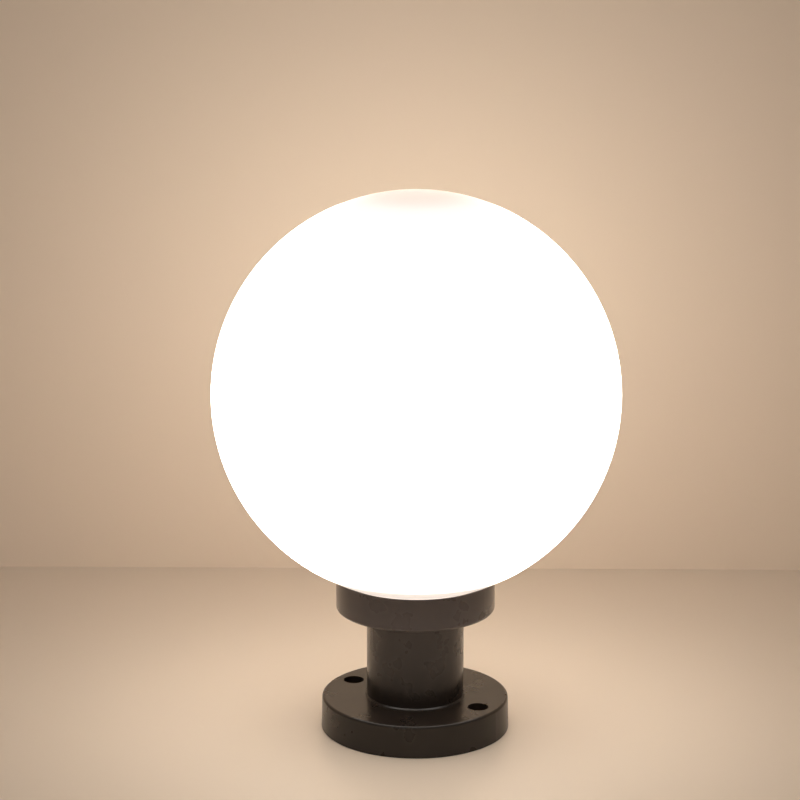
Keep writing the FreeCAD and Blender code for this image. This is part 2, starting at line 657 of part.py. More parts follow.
def holder_core():
    """Ceramic core with the plunger's well and a slot for the side contact."""
    edge_r = CORE_R - CORE_BREAK
    core = turned([(0, CORE_Z), (edge_r, CORE_Z), (CORE_R, CORE_Z + CORE_BREAK),
                   (CORE_R, CORE_TOP - CORE_BREAK), (edge_r, CORE_TOP), (0, CORE_TOP)])
    leg_x = TERMINAL_X + STRAP_LEG_IN
    slot_y = (STRAP_W / 2 + STRAP_SLOT_SIDE)
    low, high = CORE_Z - CUT_PAST, CORE_TOP + CUT_PAST
    cuts = [rod(PLUNGER_HEAD_R + PLUNGER_GAP, CORE_Z + PLUNGER_BOSS, high),
            rod(PLUNGER_STEM_R + PLUNGER_STEM_GAP, low, high),
            block(leg_x - STRAP_SLOT_SIDE, leg_x + STRAP + STRAP_SLOT_SIDE, -slot_y, slot_y,
                  low, high)]
    for shape in cuts:
        core = core.cut(shape)
    return core


def holder_screw_shell():
    """Threaded contact shell that the bulb screws into."""
    outer = SHELL_ROOT_R + SHELL_WALL
    room = SHELL_H - 2 * SHELL_RIDGE_HALF - THREAD_LEAD
    turns = (room - SHELL_RIDGE_END - THREAD_LEAD) / LAMP_PITCH
    ridge = helix_ridge(SHELL_ROOT_R + SHELL_RIDGE_ROOT, SHELL_CREST_R, SHELL_RIDGE_HALF,
                        LAMP_PITCH, turns, SHELL_RIDGE_Z, 0)
    return fuse(tube(outer, SHELL_ROOT_R, SHELL_Z, SHELL_Z + SHELL_H), ridge)


def holder_side_contact():
    """Strap from the neutral terminal, through the core, to the foot of the threaded shell."""
    x = TERMINAL_X + STRAP_LEG_IN
    half = STRAP_W / 2
    foot = block(TERMINAL_X - half, x + STRAP, -half, half, CORE_Z - STRAP, CORE_Z)
    leg = block(x, x + STRAP, -half, half, CORE_Z - STRAP, CORE_TOP + STRAP)
    head = block(x, SHELL_ROOT_R + SHELL_WALL - STRAP_LAP, -half, half, CORE_TOP,
                 CORE_TOP + STRAP)
    return fuse(foot, leg, head)


def holder_live_strap():
    """Strap from the live terminal to the plunger's stem."""
    half = STRAP_W / 2
    strap = block(-TERMINAL_X - half, STRAP_END, -half, half, CORE_Z - STRAP, CORE_Z)
    return strap.cut(rod(PLUNGER_STEM_R + PLUNGER_STEM_GAP, CORE_Z - CUT_PAST, CORE_Z + CUT_PAST))


def holder_plunger():
    """Sprung centre contact: a head on a stem."""
    top = CORE_TOP + PLUNGER_UP
    neck = top - PLUNGER_HEAD_H
    return turned([(0, CORE_Z - STRAP), (PLUNGER_STEM_R, CORE_Z - STRAP), (PLUNGER_STEM_R, neck),
                   (PLUNGER_HEAD_R, neck), (PLUNGER_HEAD_R, top, PLUNGER_ROUND), (0, top)])


def holder_spring():
    """Coil spring under the plunger's head."""
    low = CORE_Z + PLUNGER_BOSS + SPRING_WIRE / 2
    high = CORE_TOP + PLUNGER_UP - PLUNGER_HEAD_H - SPRING_WIRE / 2
    path = Part.Wire(Part.makeHelix((high - low) / SPRING_TURNS, high - low, SPRING_R))
    section = Part.Wire(Part.makeCircle(SPRING_WIRE / 2, V(SPRING_R, 0, 0), V(0, 1, 0)))
    coil = path.makePipeShell([section], True, True)
    coil.translate(V(0, 0, low))
    return coil


def holder_terminals():
    """Two brass blocks under the core, each with a wire hole and a screw hole."""
    half = TERMINAL_W / 2
    top = CORE_Z - STRAP
    low = top - TERMINAL_H
    solids = []
    for side in (-1, 1):
        x = side * TERMINAL_X
        body = block(x - half, x + half, -half, half, low, top)
        body = body.cut(rod(LEAD_R + LEAD_FIT, low - CUT_PAST, top - TERMINAL_FLOOR, x))
        body = body.cut(rod_y(TERMINAL_BORE, -half - CUT_PAST, 0, x, top - TERMINAL_H / 2))
        solids.append(body)
    return Part.makeCompound(solids)


def holder_terminal_screws():
    """Screws that grip the leads in the lampholder's terminals."""
    face = -TERMINAL_W / 2
    end = face - TERMINAL_HEAD_H
    z = CORE_Z - STRAP - TERMINAL_H / 2
    solids = []
    for side in (-1, 1):
        x = side * TERMINAL_X
        screw = rod_y(TERMINAL_SCREW_R, face, -LEAD_R - GRIP_GAP, x, z)
        screw = screw.fuse(rod_y(TERMINAL_HEAD_R, end, face, x, z))
        slot = block(x - TERMINAL_W / 2, x + TERMINAL_W / 2, end - CUT_PAST,
                     end + TERMINAL_SLOT_DEEP, z - TERMINAL_SLOT / 2, z + TERMINAL_SLOT / 2)
        solids.append(screw.cut(slot))
    return Part.makeCompound(solids)


# ================================================================ bulb
def bulb_tip():
    """Solder contact at the foot of the bulb."""
    top = TIP_Z + LAMP_TIP_H
    return turned([(0, TIP_Z), (LAMP_TIP_R - LAMP_TIP_SLOPE, TIP_Z),
                   (LAMP_TIP_R, top - LAMP_TIP_EDGE), (LAMP_TIP_R, top), (0, top)])


def bulb_insulator():
    """Black ring between the solder contact and the threaded cap."""
    low = TIP_Z + LAMP_TIP_H
    top = LAMP_CAP_Z + INSULATOR_PLUG
    return turned([(0, low), (LAMP_TIP_R + INSULATOR_LEDGE, low),
                   (LAMP_PLUG_R - INSULATOR_RIM_IN, LAMP_CAP_Z - INSULATOR_RIM),
                   (LAMP_PLUG_R, LAMP_CAP_Z), (LAMP_PLUG_R, top), (0, top)])


def bulb_cap():
    """Threaded cap of the bulb."""
    inner = LAMP_ROOT_R - LAMP_CAP_SHEET
    sleeve = tube(LAMP_ROOT_R, inner, LAMP_CAP_Z, LAMP_CAP_TOP)
    first = LAMP_CAP_Z + LAMP_RIDGE_HALF + LAMP_RIDGE_START
    turns_up = math.ceil((first - SHELL_RIDGE_Z) / LAMP_PITCH - 0.5)
    ridge_z = SHELL_RIDGE_Z + (turns_up + 0.5) * LAMP_PITCH
    turns = (LAMP_CAP_TOP - LAMP_RIDGE_END - ridge_z) / LAMP_PITCH
    ridge = helix_ridge(LAMP_ROOT_R - LAMP_RIDGE_ROOT, LAMP_CREST_R, LAMP_RIDGE_HALF, LAMP_PITCH,
                        turns, ridge_z, 0)
    return fuse(sleeve, ridge)


def bulb_housing():
    """Tapered housing of the bulb, a shell that plugs into the threaded cap."""
    low = LAMP_CAP_TOP + FIT
    waist = LAMP_ROOT_R + HOUSING_SHOULDER
    plug_in = LAMP_PLUG_R - LAMP_SHELL
    return turned([
        (plug_in, low - HOUSING_PLUG), (LAMP_PLUG_R, low - HOUSING_PLUG), (LAMP_PLUG_R, low),
        (waist, low), (waist + HOUSING_FLARE, low + HOUSING_WAIST, HOUSING_BEND),
        (HOUSING_RIM_R, PLATE_Z), (HOUSING_RIM_R - LAMP_SHELL, PLATE_Z),
        (waist - LAMP_SHELL, low + HOUSING_WAIST_IN, HOUSING_BEND), (plug_in, low),
    ])


def bulb_led_plate():
    """Aluminium plate that carries the LED chips, on the housing's rim."""
    inner = HOUSING_RIM_R - LAMP_SHELL
    top = PLATE_Z + PLATE_H
    plate = rod(inner - PLATE_GAP, PLATE_Z, top)
    for x in (-PLATE_HOLE_X, PLATE_HOLE_X):
        plate = plate.cut(rod(PLATE_HOLE_R, PLATE_Z - CUT_PAST, top + CUT_PAST, x))
    lip = tube(HOUSING_RIM_R - PLATE_LIP_IN, inner - PLATE_LAP, PLATE_Z, PLATE_Z + PLATE_LIP)
    return fuse(plate, lip)


def chip(x, y):
    z = PLATE_Z + PLATE_H
    return block(x - CHIP_W / 2, x + CHIP_W / 2, y - CHIP_L / 2, y + CHIP_L / 2, z, z + CHIP_H)


def bulb_led_chips():
    """Ring of LED chips, and one pair in the middle."""
    solids = [chip(0, -CHIP_PAIR_Y), chip(0, CHIP_PAIR_Y)]
    for k in range(CHIPS):
        led = chip(CHIP_RING_R, 0)
        led.rotate(V(0, 0, 0), Z, 360.0 / CHIPS * k)
        solids.append(led)
    return Part.makeCompound(solids)


def bulb_driver_board():
    """Upright circuit board inside the housing."""
    half, shoulder = BOARD_T / 2, PLATE_Z - BOARD_TAB_H
    board = block(-BOARD_W / 2, BOARD_W / 2, -half, half, LAMP_CAP_TOP - BOARD_FOOT, shoulder)
    tab = block(-BOARD_TAB_W / 2, BOARD_TAB_W / 2, -half, half, shoulder, PLATE_Z)
    return fuse(board, tab)


def bulb_driver_parts():
    """Capacitor, choke, bridge and resistor on the circuit board."""
    z, face = LAMP_CAP_TOP, BOARD_T / 2
    can_y = face + CAPACITOR_GAP + CAPACITOR_R
    can = rod(CAPACITOR_R, z + CAPACITOR_UP, z + CAPACITOR_UP + CAPACITOR_H, 0, can_y)
    glue = block(-GLUE_W / 2, GLUE_W / 2, face, can_y - CAPACITOR_R / 2,
                 z + GLUE_UP, z + GLUE_UP + GLUE_H)
    choke = block(-CHOKE_W / 2, CHOKE_W / 2, -face - CHOKE_DEEP, -face,
                  z + CHOKE_UP, z + CHOKE_UP + CHOKE_H)
    bridge = block(-BRIDGE_W / 2, BRIDGE_W / 2, -face - BRIDGE_DEEP, -face,
                   z + BRIDGE_UP, z + BRIDGE_UP + BRIDGE_H)
    resistor = rod(RESISTOR_R, z, z + RESISTOR_H, 0, face + RESISTOR_R)
    return Part.makeCompound([fuse(can, glue), choke, bridge, resistor])


def bulb_diffuser():
    """Opal dome of the bulb, a shell that stands on the lip of the LED plate."""
    drop = PLATE_DROP - PLATE_LIP - DOME_GAP
    start_out = math.sqrt(LAMP_R ** 2 - drop ** 2)
    start_in = math.sqrt((LAMP_R - LAMP_SHELL) ** 2 - drop ** 2)
    return dome_shell(LAMP_R, LAMP_SHELL, LAMP_BALL_Z, start_out, start_in, [])


# ================================================================ wiring
def rod_lead(side, pole_x):
    """Lead from a pole of the terminal block, through the rod, to a lampholder terminal."""
    x, terminal_x = side * LEAD_X, side * TERMINAL_X
    end = CORE_Z - STRAP - TERMINAL_H
    return lead([
        (pole_x, BLOCK_Y0 + LEAD_IN, POLE_Z), (pole_x, BLOCK_Y0 - LEAD_OUT, POLE_Z),
        ((pole_x + x) / 2, LEAD_TURN_Y, ROD_LOW - LEAD_TURN_DROP),
        (x, 0, ROD_LOW - LEAD_ENTRY_DROP), (x, 0, HOLDER_Z + ROD_IN_HOLDER + LEAD_R),
        (terminal_x, 0, end - LEAD_FAN), (terminal_x, 0, end + LEAD_GRIP),
    ], LEAD_R)


def earth_lead():
    """Lead from the third pole to the ring terminal on the flange."""
    z = ROOF_Z - BARREL_DROP
    return lead([
        (POLE, BLOCK_Y0 + LEAD_IN, POLE_Z), (POLE, BLOCK_Y0 - EARTH_LEAD_OUT, POLE_Z),
        (EARTH_X, BLOCK_Y0 - EARTH_LEAD_TURN, z), (EARTH_X, EARTH_Y + EARTH_LEAD_END, z),
    ], LEAD_R)


def earth_ring_terminal():
    """Crimped ring terminal under the earth screw."""
    low, axis_z, half = ROOF_Z - EARTH_SHEET, ROOF_Z - BARREL_DROP, EARTH_TONGUE_W / 2
    ring = rod(EARTH_RING_R, low, ROOF_Z, EARTH_X, EARTH_Y)
    tongue = block(EARTH_X - half, EARTH_X + half, EARTH_Y, EARTH_Y + EARTH_TONGUE_L, low, ROOF_Z)
    barrel = rod_y(BARREL_R, EARTH_Y + BARREL_Y0, EARTH_Y + BARREL_Y1, EARTH_X, axis_z)
    bore = rod_y(LEAD_R + FIT, EARTH_Y, EARTH_Y + BARREL_Y1 + CUT_PAST, EARTH_X, axis_z)
    hole = rod(EARTH_SCREW_R + EARTH_FIT, low - CUT_PAST, ROOF_Z + CUT_PAST, EARTH_X, EARTH_Y)
    joined = ring.fuse(tongue).fuse(barrel).cut(bore).cut(hole)
    return joined.removeSplitter()


def earth_washer():
    """Plain washer under the earth screw's head."""
    high = ROOF_Z - EARTH_SHEET
    return tube(EARTH_WASHER_R, EARTH_SCREW_R + EARTH_FIT, high - EARTH_SHEET, high,
                EARTH_X, EARTH_Y)


def earth_screw():
    """Screw that holds the ring terminal to the flange."""
    return pan_screw(EARTH_HEAD_R, EARTH_HEAD_H, EARTH_SCREW_R, ROOF_Z - 2 * EARTH_SHEET,
                     ROOF_Z + EARTH_IN, EARTH_X, EARTH_Y)


def terminal_block():
    """Three-pole block: a bar on the roof with a turret for each screw."""
    y1 = BLOCK_Y0 + BLOCK_Y
    body = block(-BLOCK_X / 2, BLOCK_X / 2, BLOCK_Y0, y1, POLE_Z - BLOCK_UNDER, ROOF_Z)
    turret_z = ROOF_Z - TURRET_H
    for x in POLE_X:
        for y in TURRET_Y:
            body = body.fuse(rod(TURRET_R, turret_z, POLE_Z, x, y))
    for x in POLE_X:
        body = body.cut(rod_y(POLE_R, BLOCK_Y0 - CUT_PAST, y1 + CUT_PAST, x, POLE_Z))
        for y in TURRET_Y:
            body = body.cut(rod(TURRET_BORE, turret_z - CUT_PAST, POLE_Z, x, y))
    hole_x = POLE / 2
    body = body.cut(rod(FIXING_R + LEAD_FIT, turret_z, ROOF_Z + CUT_PAST, hole_x, FIXING_Y))
    body = body.cut(rod(FIXING_HEAD_R + LEAD_FIT, turret_z, POLE_Z - CUT_PAST, hole_x, FIXING_Y))
    return body.removeSplitter()


def terminal_tubes():
    """Brass tubes inside the terminal block."""
    y0, y1 = BLOCK_Y0 + TUBE_IN, BLOCK_Y0 + BLOCK_Y - TUBE_IN
    solids = []
    for x in POLE_X:
        bore = rod_y(POLE_BORE, y0 - CUT_PAST, y1 + CUT_PAST, x, POLE_Z)
        body = rod_y(POLE_R - FIT, y0, y1, x, POLE_Z).cut(bore)
        for y in TURRET_Y:
            body = body.cut(rod(TUBE_BORE, POLE_Z - 2 * POLE_R, POLE_Z, x, y))
        solids.append(body)
    return Part.makeCompound(solids)


def terminal_block_screws():
    """Six clamp screws, two to a pole."""
    low = ROOF_Z - BLOCK_SCREW_DOWN
    solids = []
    for x in POLE_X:
        for y in TURRET_Y:
            screw = rod(CLAMP_SCREW_R, low, POLE_Z - LEAD_R - GRIP_GAP, x, y)
            slot = block(x - TURRET_BORE, x + TURRET_BORE, y - BLOCK_SLOT / 2,
                         y + BLOCK_SLOT / 2, low - CUT_PAST, low + BLOCK_SLOT_DEEP)
            solids.append(screw.cut(slot))
    return Part.makeCompound(solids)


def terminal_block_fixing_screw():
    """Screw that holds the terminal block to the flange, between two poles."""
    return pan_screw(FIXING_HEAD_R, FIXING_HEAD_H, FIXING_R, POLE_Z - CUT_PAST,
                     ROOF_Z + FIXING_IN, POLE / 2, FIXING_Y)


def cord_clamp():
    """Bowed bar that grips the supply cable."""
    half = CLAMP_SCREW_X + CLAMP_EAR
    low, high = BOSS_Z - CLAMP_T, BOSS_Z
    (out_x, foot_x), (in_x, top_x) = CLAMP_BOW_OUT, CLAMP_BOW_IN
    bow_low, bow_high = low - CLAMP_BOW, high - CLAMP_BOW
    bar = rounded([
        (-half, low), (-out_x, low), (-foot_x, bow_low, CLAMP_BOW_R), (foot_x, bow_low, CLAMP_BOW_R),
        (out_x, low), (half, low), (half, high), (in_x, high), (top_x, bow_high, CLAMP_BOW_R),
        (-top_x, bow_high, CLAMP_BOW_R), (-in_x, high), (-half, high),
    ])
    solid = Part.Face(bar).extrude(V(0, CLAMP_W, 0))
    solid.translate(V(0, CLAMP_Y - CLAMP_W / 2, 0))
    for side in (-1, 1):
        hole = rod(CLAMP_HOLE_R, bow_low, high + CUT_PAST, side * CLAMP_SCREW_X, CLAMP_Y)
        solid = solid.cut(hole)
    return solid


def cord_clamp_screws():
    """Two screws through the clamp bar into the flange's bosses."""
    return Part.makeCompound([
        pan_screw(CLAMP_HEAD_R, CLAMP_HEAD_H, CLAMP_THREAD_R, BOSS_Z - CLAMP_T,
                  ROOF_Z + CLAMP_SCREW_IN, side * CLAMP_SCREW_X, CLAMP_Y) for side in (-1, 1)
    ])


# ================================================================ write the files
PIECES = {
    "globe": globe,
    "globe_seal": globe_seal,
    "fitter_cup": fitter_cup,
    "neck_tube": neck_tube,
    "base_flange": base_flange,
    "base_gasket": base_gasket,
    "tie_rod": tie_rod,
    "rod_top_nut": lambda: rod_nut(CUP_FLOOR_Z + WASHER_H, NUT_TOP_H),
    "rod_top_washer": lambda: lock_washer(CUP_FLOOR_Z),
    "rod_bottom_nut": lambda: rod_nut(ROOF_Z - WASHER_H - NUT_LOW_H, NUT_LOW_H),
    "rod_bottom_washer": lambda: lock_washer(ROOF_Z - WASHER_H),
    "holder_cap": holder_cap,
    "holder_grub_screw": holder_grub_screw,
    "holder_skirt": holder_skirt,
    "holder_core": holder_core,
    "holder_screw_shell": holder_screw_shell,
    "holder_side_contact": holder_side_contact,
    "holder_live_strap": holder_live_strap,
    "holder_plunger": holder_plunger,
    "holder_spring": holder_spring,
    "holder_terminals": holder_terminals,
    "holder_terminal_screws": holder_terminal_screws,
    "bulb_tip": bulb_tip,
    "bulb_insulator": bulb_insulator,
    "bulb_cap": bulb_cap,
    "bulb_housing": bulb_housing,
    "bulb_led_plate": bulb_led_plate,
    "bulb_led_chips": bulb_led_chips,
    "bulb_driver_board": bulb_driver_board,
    "bulb_driver_parts": bulb_driver_parts,
    "bulb_diffuser": bulb_diffuser,
    "live_lead": lambda: rod_lead(-1, -POLE),
    "neutral_lead": lambda: rod_lead(1, 0),
    "earth_lead": earth_lead,
    "earth_ring_terminal": earth_ring_terminal,
    "earth_washer": earth_washer,
    "earth_screw": earth_screw,
    "terminal_block": terminal_block,
    "terminal_tubes": terminal_tubes,
    "terminal_block_screws": terminal_block_screws,
    "terminal_block_fixing_screw": terminal_block_fixing_screw,
    "cord_clamp": cord_clamp,
    "cord_clamp_screws": cord_clamp_screws,
}


def main():
    os.makedirs("parts", exist_ok=True)
    for name, make in PIECES.items():
        shape = make()
        sound = shape.isValid() and all(s.isClosed() and s.Volume > 0 for s in shape.Solids)
        print(name, "solids", len(shape.Solids), "volume", round(shape.Volume, 2), "valid", sound)
        shape.exportStep(os.path.join("parts", name + ".step"))


main()
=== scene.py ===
"""Garden globe light: dresses the modelled pieces and sets them up for the picture.

Lengths are in metres, in the frame of the modelled pieces: +Z is up, the origin is the middle of
the face that the flange stands on, and the two mounting screws lie on the X axis.
"""
import logging
import math
from dataclasses import dataclass
from enum import Enum
from typing import Any, Dict, List, Optional, Sequence, Tuple, Union

import bmesh
import bpy
from mathutils import Matrix, Vector


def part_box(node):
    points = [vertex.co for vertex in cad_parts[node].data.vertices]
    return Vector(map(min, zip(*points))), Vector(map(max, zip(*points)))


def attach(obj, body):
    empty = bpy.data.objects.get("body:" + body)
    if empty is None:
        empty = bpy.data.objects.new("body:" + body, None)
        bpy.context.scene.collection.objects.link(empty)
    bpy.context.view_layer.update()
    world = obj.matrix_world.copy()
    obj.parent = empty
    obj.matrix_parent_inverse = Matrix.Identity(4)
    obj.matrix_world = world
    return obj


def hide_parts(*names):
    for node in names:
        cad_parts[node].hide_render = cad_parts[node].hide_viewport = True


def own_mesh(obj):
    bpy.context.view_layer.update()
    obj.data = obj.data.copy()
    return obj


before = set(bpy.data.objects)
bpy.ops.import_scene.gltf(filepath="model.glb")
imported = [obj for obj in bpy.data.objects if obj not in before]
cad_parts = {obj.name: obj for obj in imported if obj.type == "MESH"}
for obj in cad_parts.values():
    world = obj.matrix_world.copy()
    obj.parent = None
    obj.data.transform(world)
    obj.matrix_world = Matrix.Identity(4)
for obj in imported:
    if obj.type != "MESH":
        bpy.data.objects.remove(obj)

MM = 0.001
WELD = 1e-7
LOG = logging.getLogger("garden_globe_light")
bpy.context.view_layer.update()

Colour = Tuple[float, float, float, float]
Pair = Tuple[float, float]
Point = Tuple[float, float, float]


def tint(red: int, green: int, blue: int) -> Colour:
    """Turns a colour written as on a screen, 0 to 255, into the linear one that shaders take.

    Args:
        red: screen value of red.
        green: screen value of green.
        blue: screen value of blue.

    Returns:
        The linear colour, with an alpha of 1.
    """

    def linear(level: int) -> float:
        """Undoes the screen's curve for one channel."""
        share = level / 255
        return share / 12.92 if share <= 0.04045 else ((share + 0.055) / 1.055) ** 2.4

    return linear(red), linear(green), linear(blue), 1.0


# ------------------------------------------------------------------------------ shader maths
class Value:
    """Something that a shader works out, with arithmetic written as for plain numbers."""

    def __init__(self, nodes: "Nodes", socket: Any) -> None:
        """Keeps the socket and the tree that it is in."""
        self.nodes = nodes
        self.socket = socket

    def maths(self, operation: str, first: Any, second: Any = 0.0) -> "Value":
        """Adds one Math node.

        Args:
            operation: the node's operation, such as ADD.
            first: its first value or number.
            second: its second value or number.

        Returns:
            The node's result.
        """
        return self.nodes.add("ShaderNodeMath", {"operation": operation}, {0: first, 1: second})

    def __add__(self, other: Any) -> "Value":
        """self + other."""
        return self.maths("ADD", self, other)

    def __radd__(self, other: Any) -> "Value":
        """other + self."""
        return self.maths("ADD", other, self)

    def __sub__(self, other: Any) -> "Value":
        """self - other."""
        return self.maths("SUBTRACT", self, other)

    def __rsub__(self, other: Any) -> "Value":
        """other - self."""
        return self.maths("SUBTRACT", other, self)

    def __mul__(self, other: Any) -> "Value":
        """self * other."""
        return self.maths("MULTIPLY", self, other)

    def __rmul__(self, other: Any) -> "Value":
        """other * self."""
        return self.maths("MULTIPLY", other, self)

    def __truediv__(self, other: Any) -> "Value":
        """self / other."""
        return self.maths("DIVIDE", self, other)

    def __pow__(self, other: Any) -> "Value":
        """self ** other."""
        return self.maths("POWER", self, other)

    def ramp(self, low: float, high: float) -> "Value":
        """Rises smoothly from 0 at low to 1 at high, or falls where low is the larger.

        Args:
            low: the value that gives 0.
            high: the value that gives 1.

        Returns:
            A number from 0 to 1.
        """
        settings = {"interpolation_type": "SMOOTHSTEP", "clamp": True}
        if low < high:
            sockets = {"Value": self, "From Min": low, "From Max": high}
            return self.nodes.add("ShaderNodeMapRange", settings, sockets)
        sockets = {"Value": self, "From Min": high, "From Max": low}
        return 1 - self.nodes.add("ShaderNodeMapRange", settings, sockets)


class Nodes:
    """The node tree of one material, around one Principled shader."""

    def __init__(self, name: str) -> None:
        """Starts a material.

        Args:
            name: the material's name.
        """
        self.material = bpy.data.materials.new(name)
        self.material.use_nodes = True
        self.tree = self.material.node_tree
        self.tree.nodes.clear()
        self.shader = self.tree.nodes.new("ShaderNodeBsdfPrincipled")
        output = self.tree.nodes.new("ShaderNodeOutputMaterial")
        self.tree.links.new(self.shader.outputs["BSDF"], output.inputs["Surface"])

    def feed(self, socket: Any, value: Any) -> None:
        """Links a Value to a socket, or sets the socket to a plain number or colour.

        Args:
            socket: the socket.
            value: what it takes.
        """
        if isinstance(value, Value):
            self.tree.links.new(value.socket, socket)
        else:
            socket.default_value = value

    def add(
        self,
        kind: str,
        settings: Optional[Dict[str, Any]] = None,
        sockets: Optional[Dict[Union[int, str], Any]] = None,
        output: Union[int, str] = 0,
    ) -> Value:
        """Adds any node.

        Args:
            kind: the node's type.
            settings: the node's own settings, which are set first.
            sockets: values or links of its inputs.
            output: which output is wanted.

        Returns:
            That output.
        """
        node = self.tree.nodes.new(kind)
        for key, value in (settings or {}).items():
            setattr(node, key, value)
        for key, value in (sockets or {}).items():
            self.feed(node.inputs[key], value)
        return Value(self, node.outputs[output])

    def place(self) -> Value:
        """The point on the piece, in metres."""
        return self.add("ShaderNodeTexCoord", output="Object")

    def axes(self) -> Tuple[Value, Value, Value]:
        """Takes the point on the piece apart.

        Returns:
            Its X, Y and Z, in metres.
        """
        apart = self.add("ShaderNodeSeparateXYZ", None, {0: self.place()})
        node = apart.socket.node
        return tuple(Value(self, node.outputs[axis]) for axis in ("X", "Y", "Z"))

    def stretched(self, scale: Point) -> Value:
        """The point with each axis multiplied by its own number."""
        sockets = {0: self.place(), 1: scale}
        return self.add("ShaderNodeVectorMath", {"operation": "MULTIPLY"}, sockets)

    def noise(self, size: float, detail: float = 2.0, at: Optional[Value] = None) -> Value:
        """Cloudy noise from 0 to 1.

        Args:
            size: width of its blotches, in metres.
            detail: how much finer noise is laid over it.
            at: the place to read it at, if not the point itself.

        Returns:
            The noise.
        """
        sockets = {"Vector": at or self.place(), "Scale": 1 / size, "Detail": detail}
        return self.add("ShaderNodeTexNoise", {"noise_dimensions": "3D"}, sockets)

    def cells(self, size: float, feature: str = "F1") -> Value:
        """Distance pattern of small cells, such as foam or grain."""
        sockets = {"Vector": self.place(), "Scale": 1 / size}
        return self.add("ShaderNodeTexVoronoi", {"feature": feature}, sockets)

    def blend(self, factor: Any, first: Any, second: Any) -> Value:
        """Mixes two colours.

        Args:
            factor: 0 for the first colour, 1 for the second.
            first: a colour.
            second: a colour.

        Returns:
            The mixed colour.
        """
        settings = {"data_type": "RGBA", "clamp_factor": True}
        return self.add("ShaderNodeMix", settings, {0: factor, 6: first, 7: second}, output=2)

    def relief(self, height: Value, depth: float) -> Value:
        """Turns a height from 0 to 1 into a bumped normal.

        Args:
            height: the height.
            depth: how deep a height of 1 is, in metres.

        Returns:
            The normal.
        """
        return self.add("ShaderNodeBump", None, {"Strength": 1.0, "Distance": depth, "Height": height})

    def finish(self, **sockets: Any) -> bpy.types.Material:
        """Feeds the Principled shader, whose sockets are named with _ for a space.

        Returns:
            The finished material.
        """
        for name, value in sockets.items():
            self.feed(self.shader.inputs[name.replace("_", " ")], value)
        return self.material


# ------------------------------------------------------------------------------ finishes
@dataclass(frozen=True)
class BlackCoat:
    """Semi-gloss black coat on cast aluminium, with faint orange peel, painted shade at the foot and
    painted light higher up.
    """

    name: str = "black_coat"
    # shaded is painted shade at the foot; colour, lighter, is painted light from the globe's glow higher
    # up
    shaded: Colour = tint(42, 34, 28)
    colour: Colour = tint(78, 69, 66)
    worn: Colour = tint(82, 73, 69)
    gloss: float = 0.25
    gloss_change: float = 0.06
    shine: float = 0.36
    varnish: float = 0.7
    # these two heights: where the painted shade starts to turn into painted light, and where it is all
    # painted light; the coat weight rises over the same span
    painted_light_and_varnish_from: float = 18 * MM
    painted_light_and_varnish_full: float = 66 * MM
    patch: float = 14 * MM
    patch_share: float = 0.8
    peel: float = 1.8 * MM
    peel_depth: float = 0.003 * MM
    speck: float = 1.0 * MM
    speck_share: float = 0.2
    speck_from: float = 0.7
    speck_full: float = 0.85

    def make(self) -> bpy.types.Material:
        """Builds the material.

        Returns:
            The material.
        """
        nodes = Nodes(self.name)
        patches = nodes.noise(self.patch, 3)
        dust = nodes.noise(self.speck, 1).ramp(self.speck_from, self.speck_full)
        peel = nodes.noise(self.peel, 1)
        # 0 at the foot, where the colour is painted shade; 1 higher up, where it is painted light from
        # the globe's glow; it also sets the coat weight
        upper = nodes.axes()[2].ramp(self.painted_light_and_varnish_from, self.painted_light_and_varnish_full)
        wear = patches * self.patch_share + dust * self.speck_share
        aged = nodes.blend(wear, self.colour, self.worn)
        return nodes.finish(
            # painted shade at the foot, painted light from the globe higher up
            Base_Color=nodes.blend(upper, self.shaded, aged),
            Coat_Weight=upper * self.varnish,
            Coat_Roughness=self.gloss,
            Roughness=(patches + dust) * self.gloss_change + self.gloss,
            Normal=nodes.relief(peel, self.peel_depth),
            Specular_IOR_Level=self.shine,
        )


@dataclass(frozen=True)
class OpalShell:
    """Opal plastic lit from inside, whose glow falls off at the crown and at the foot.

    Heights named _from and _full are shares of the radius above the middle.
    """

    name: str
    middle: float
    radius: float
    body: Colour = tint(236, 228, 216)
    glow: Colour = (1.0, 0.975, 0.93, 1.0)
    pale: Colour = (0.178, 0.166, 0.16, 1.0)
    crown: Colour = (0.138, 0.122, 0.111, 1.0)
    foot: Colour = (0.138, 0.124, 0.114, 1.0)
    strength: float = 5.2
    pale_from: float = 0.88
    pale_full: float = 0.94
    crown_from: float = 0.943
    crown_full: float = 0.992
    foot_from: float = -0.8
    foot_full: float = -0.862
    mottle: float = 30 * MM
    mottle_share: float = 0.3
    gloss: float = 0.16
    gloss_change: float = 0.04
    ripple: float = 6 * MM
    ripple_depth: float = 0.004 * MM

    def make(self) -> bpy.types.Material:
        """Builds the material.

        Returns:
            The material.
        """
        nodes = Nodes(self.name)
        height = (nodes.axes()[2] - self.middle) / self.radius
        mottle = nodes.noise(self.mottle, 2)
        light = nodes.blend(height.ramp(self.pale_from, self.pale_full), self.glow, self.pale)
        light = nodes.blend(height.ramp(self.crown_from, self.crown_full), light, self.crown)
        light = nodes.blend(height.ramp(self.foot_from, self.foot_full), light, self.foot)
        return nodes.finish(
            Base_Color=nodes.blend(mottle * self.mottle_share, self.body, self.glow),
            Emission_Color=light,
            Emission_Strength=self.strength,
            Roughness=mottle * self.gloss_change + self.gloss,
            Normal=nodes.relief(nodes.noise(self.ripple, 1), self.ripple_depth),
            IOR=1.49,
        )


class Working(Enum):
    """How a metal was worked, which sets the direction of its marks."""

    TURNED = (60.0, 60.0, 4000.0)
    DRAWN = (3000.0, 3000.0, 120.0)
    PLAIN = (900.0, 900.0, 900.0)


